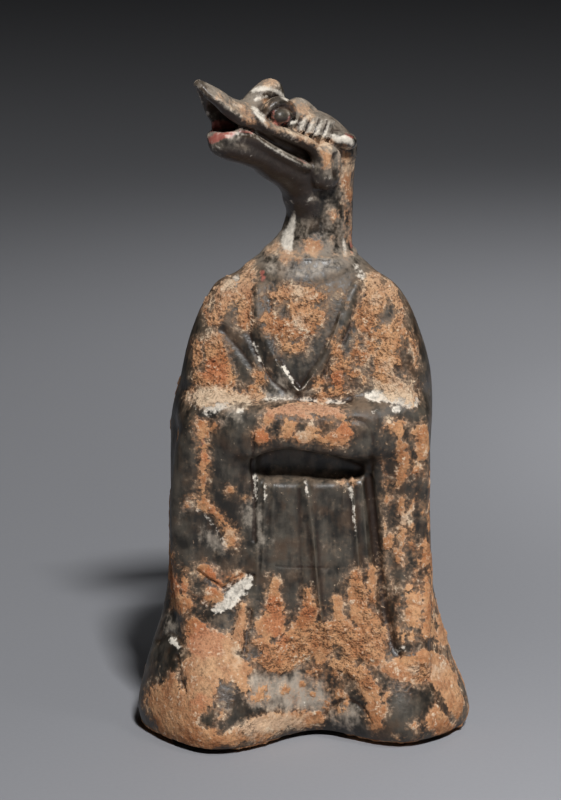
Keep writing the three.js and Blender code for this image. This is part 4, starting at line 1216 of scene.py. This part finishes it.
def make_camera():
    """The camera at the photograph's viewing angle."""
    data = bpy.data.cameras.new("camera")
    data.sensor_fit = "VERTICAL"
    data.sensor_height = SENSOR
    data.lens = SENSOR * CAMERA_DISTANCE / (PHOTO_HEIGHT * PIXEL)
    data.shift_x = (PHOTO_WIDTH / 2 - AXIS_COLUMN) / PHOTO_HEIGHT
    camera = bpy.data.objects.new("camera", data)
    camera.location = AIM + CAMERA_BACK * CAMERA_DISTANCE
    camera.rotation_euler = (-CAMERA_BACK).to_track_quat("-Z", "Y").to_euler()
    bpy.context.scene.collection.objects.link(camera)
    bpy.context.scene.camera = camera


def hang(light_data, place, aim):
    """Puts a light in its place and turns it to what it lights."""
    light = bpy.data.objects.new(light_data.name, light_data)
    light.location = place
    light.rotation_euler = (Vector(aim) - Vector(place)).to_track_quat("-Z", "Y").to_euler()
    bpy.context.scene.collection.objects.link(light)


def main_light(power):
    """The square light high in front of the figure."""
    data = bpy.data.lights.new("key_light", "AREA")
    data.energy = power
    data.size = KEY_SIZE
    hang(data, KEY_PLACE, AIM)


def pool_of_light(name, power, place, aim, spread, radius):
    """A light with a soft edge, for one part of the floor."""
    data = bpy.data.lights.new(name, "SPOT")
    data.energy = power
    data.spot_size = spread
    data.spot_blend = 1
    data.shadow_soft_size = radius
    hang(data, place, aim)


class FIGURE_OT_stage(bpy.types.Operator):
    """Set up the camera, the lights and the floor"""

    bl_idname = "figure.stage"
    bl_label = "Studio Stage"

    def execute(self, context):
        stage = context.scene.figure_stage
        half = stage.floor_size / 2
        mesh = bpy.data.meshes.new("floor")
        corners = [(-half, -half, 0), (half, -half, 0), (half, half, 0), (-half, half, 0)]
        mesh.from_pydata(corners, [], [(0, 1, 2, 3)])
        mesh.materials.append(floor_material(context.scene.figure_finish))
        floor = bpy.data.objects.new("floor", mesh)
        context.scene.collection.objects.link(floor)
        main_light(stage.key_power)
        pool_of_light("front_light", stage.front_power, *FRONT_SPOT)
        pool_of_light("side_light", stage.side_power, *SIDE_SPOT)
        pool_of_light("back_light", stage.back_power, *BACK_SPOT)
        world = bpy.data.worlds.new("room")
        world.use_nodes = True
        world.node_tree.nodes["Background"].inputs["Strength"].default_value = stage.sky
        context.scene.world = world
        context.scene.view_settings.view_transform = "Standard"
        make_camera()
        return {"FINISHED"}


class FIGURE_PT_sidebar(bpy.types.Panel):
    """The figure's sizes, colours and operators"""

    bl_label = "Earthenware Figure"
    bl_space_type = "VIEW_3D"
    bl_region_type = "UI"
    bl_category = "Figure"

    def draw(self, context):
        for group in (context.scene.figure_sizes, context.scene.figure_finish, context.scene.figure_stage):
            box = self.layout.box()
            for name in group.__annotations__:
                box.prop(group, name)
        for operator in OPERATORS:
            self.layout.operator(operator.bl_idname)


OPERATORS = (FIGURE_OT_moulded_figure, FIGURE_OT_stage)
PROPERTIES = {"figure_sizes": FigureSizes, "figure_finish": FigureFinish, "figure_stage": FigureStage}


def register():
    for kind in (*PROPERTIES.values(), *OPERATORS, FIGURE_PT_sidebar):
        bpy.utils.register_class(kind)
    for name, kind in PROPERTIES.items():
        setattr(bpy.types.Scene, name, bpy.props.PointerProperty(type=kind))


def unregister():
    for name in PROPERTIES:
        delattr(bpy.types.Scene, name)
    for kind in (FIGURE_PT_sidebar, *reversed(OPERATORS), *PROPERTIES.values()):
        bpy.utils.unregister_class(kind)


def main():
    """Makes the figure and its stage."""
    register()
    bpy.ops.figure.moulded_figure()
    bpy.ops.figure.stage()


if __name__ == "__main__":
    main()
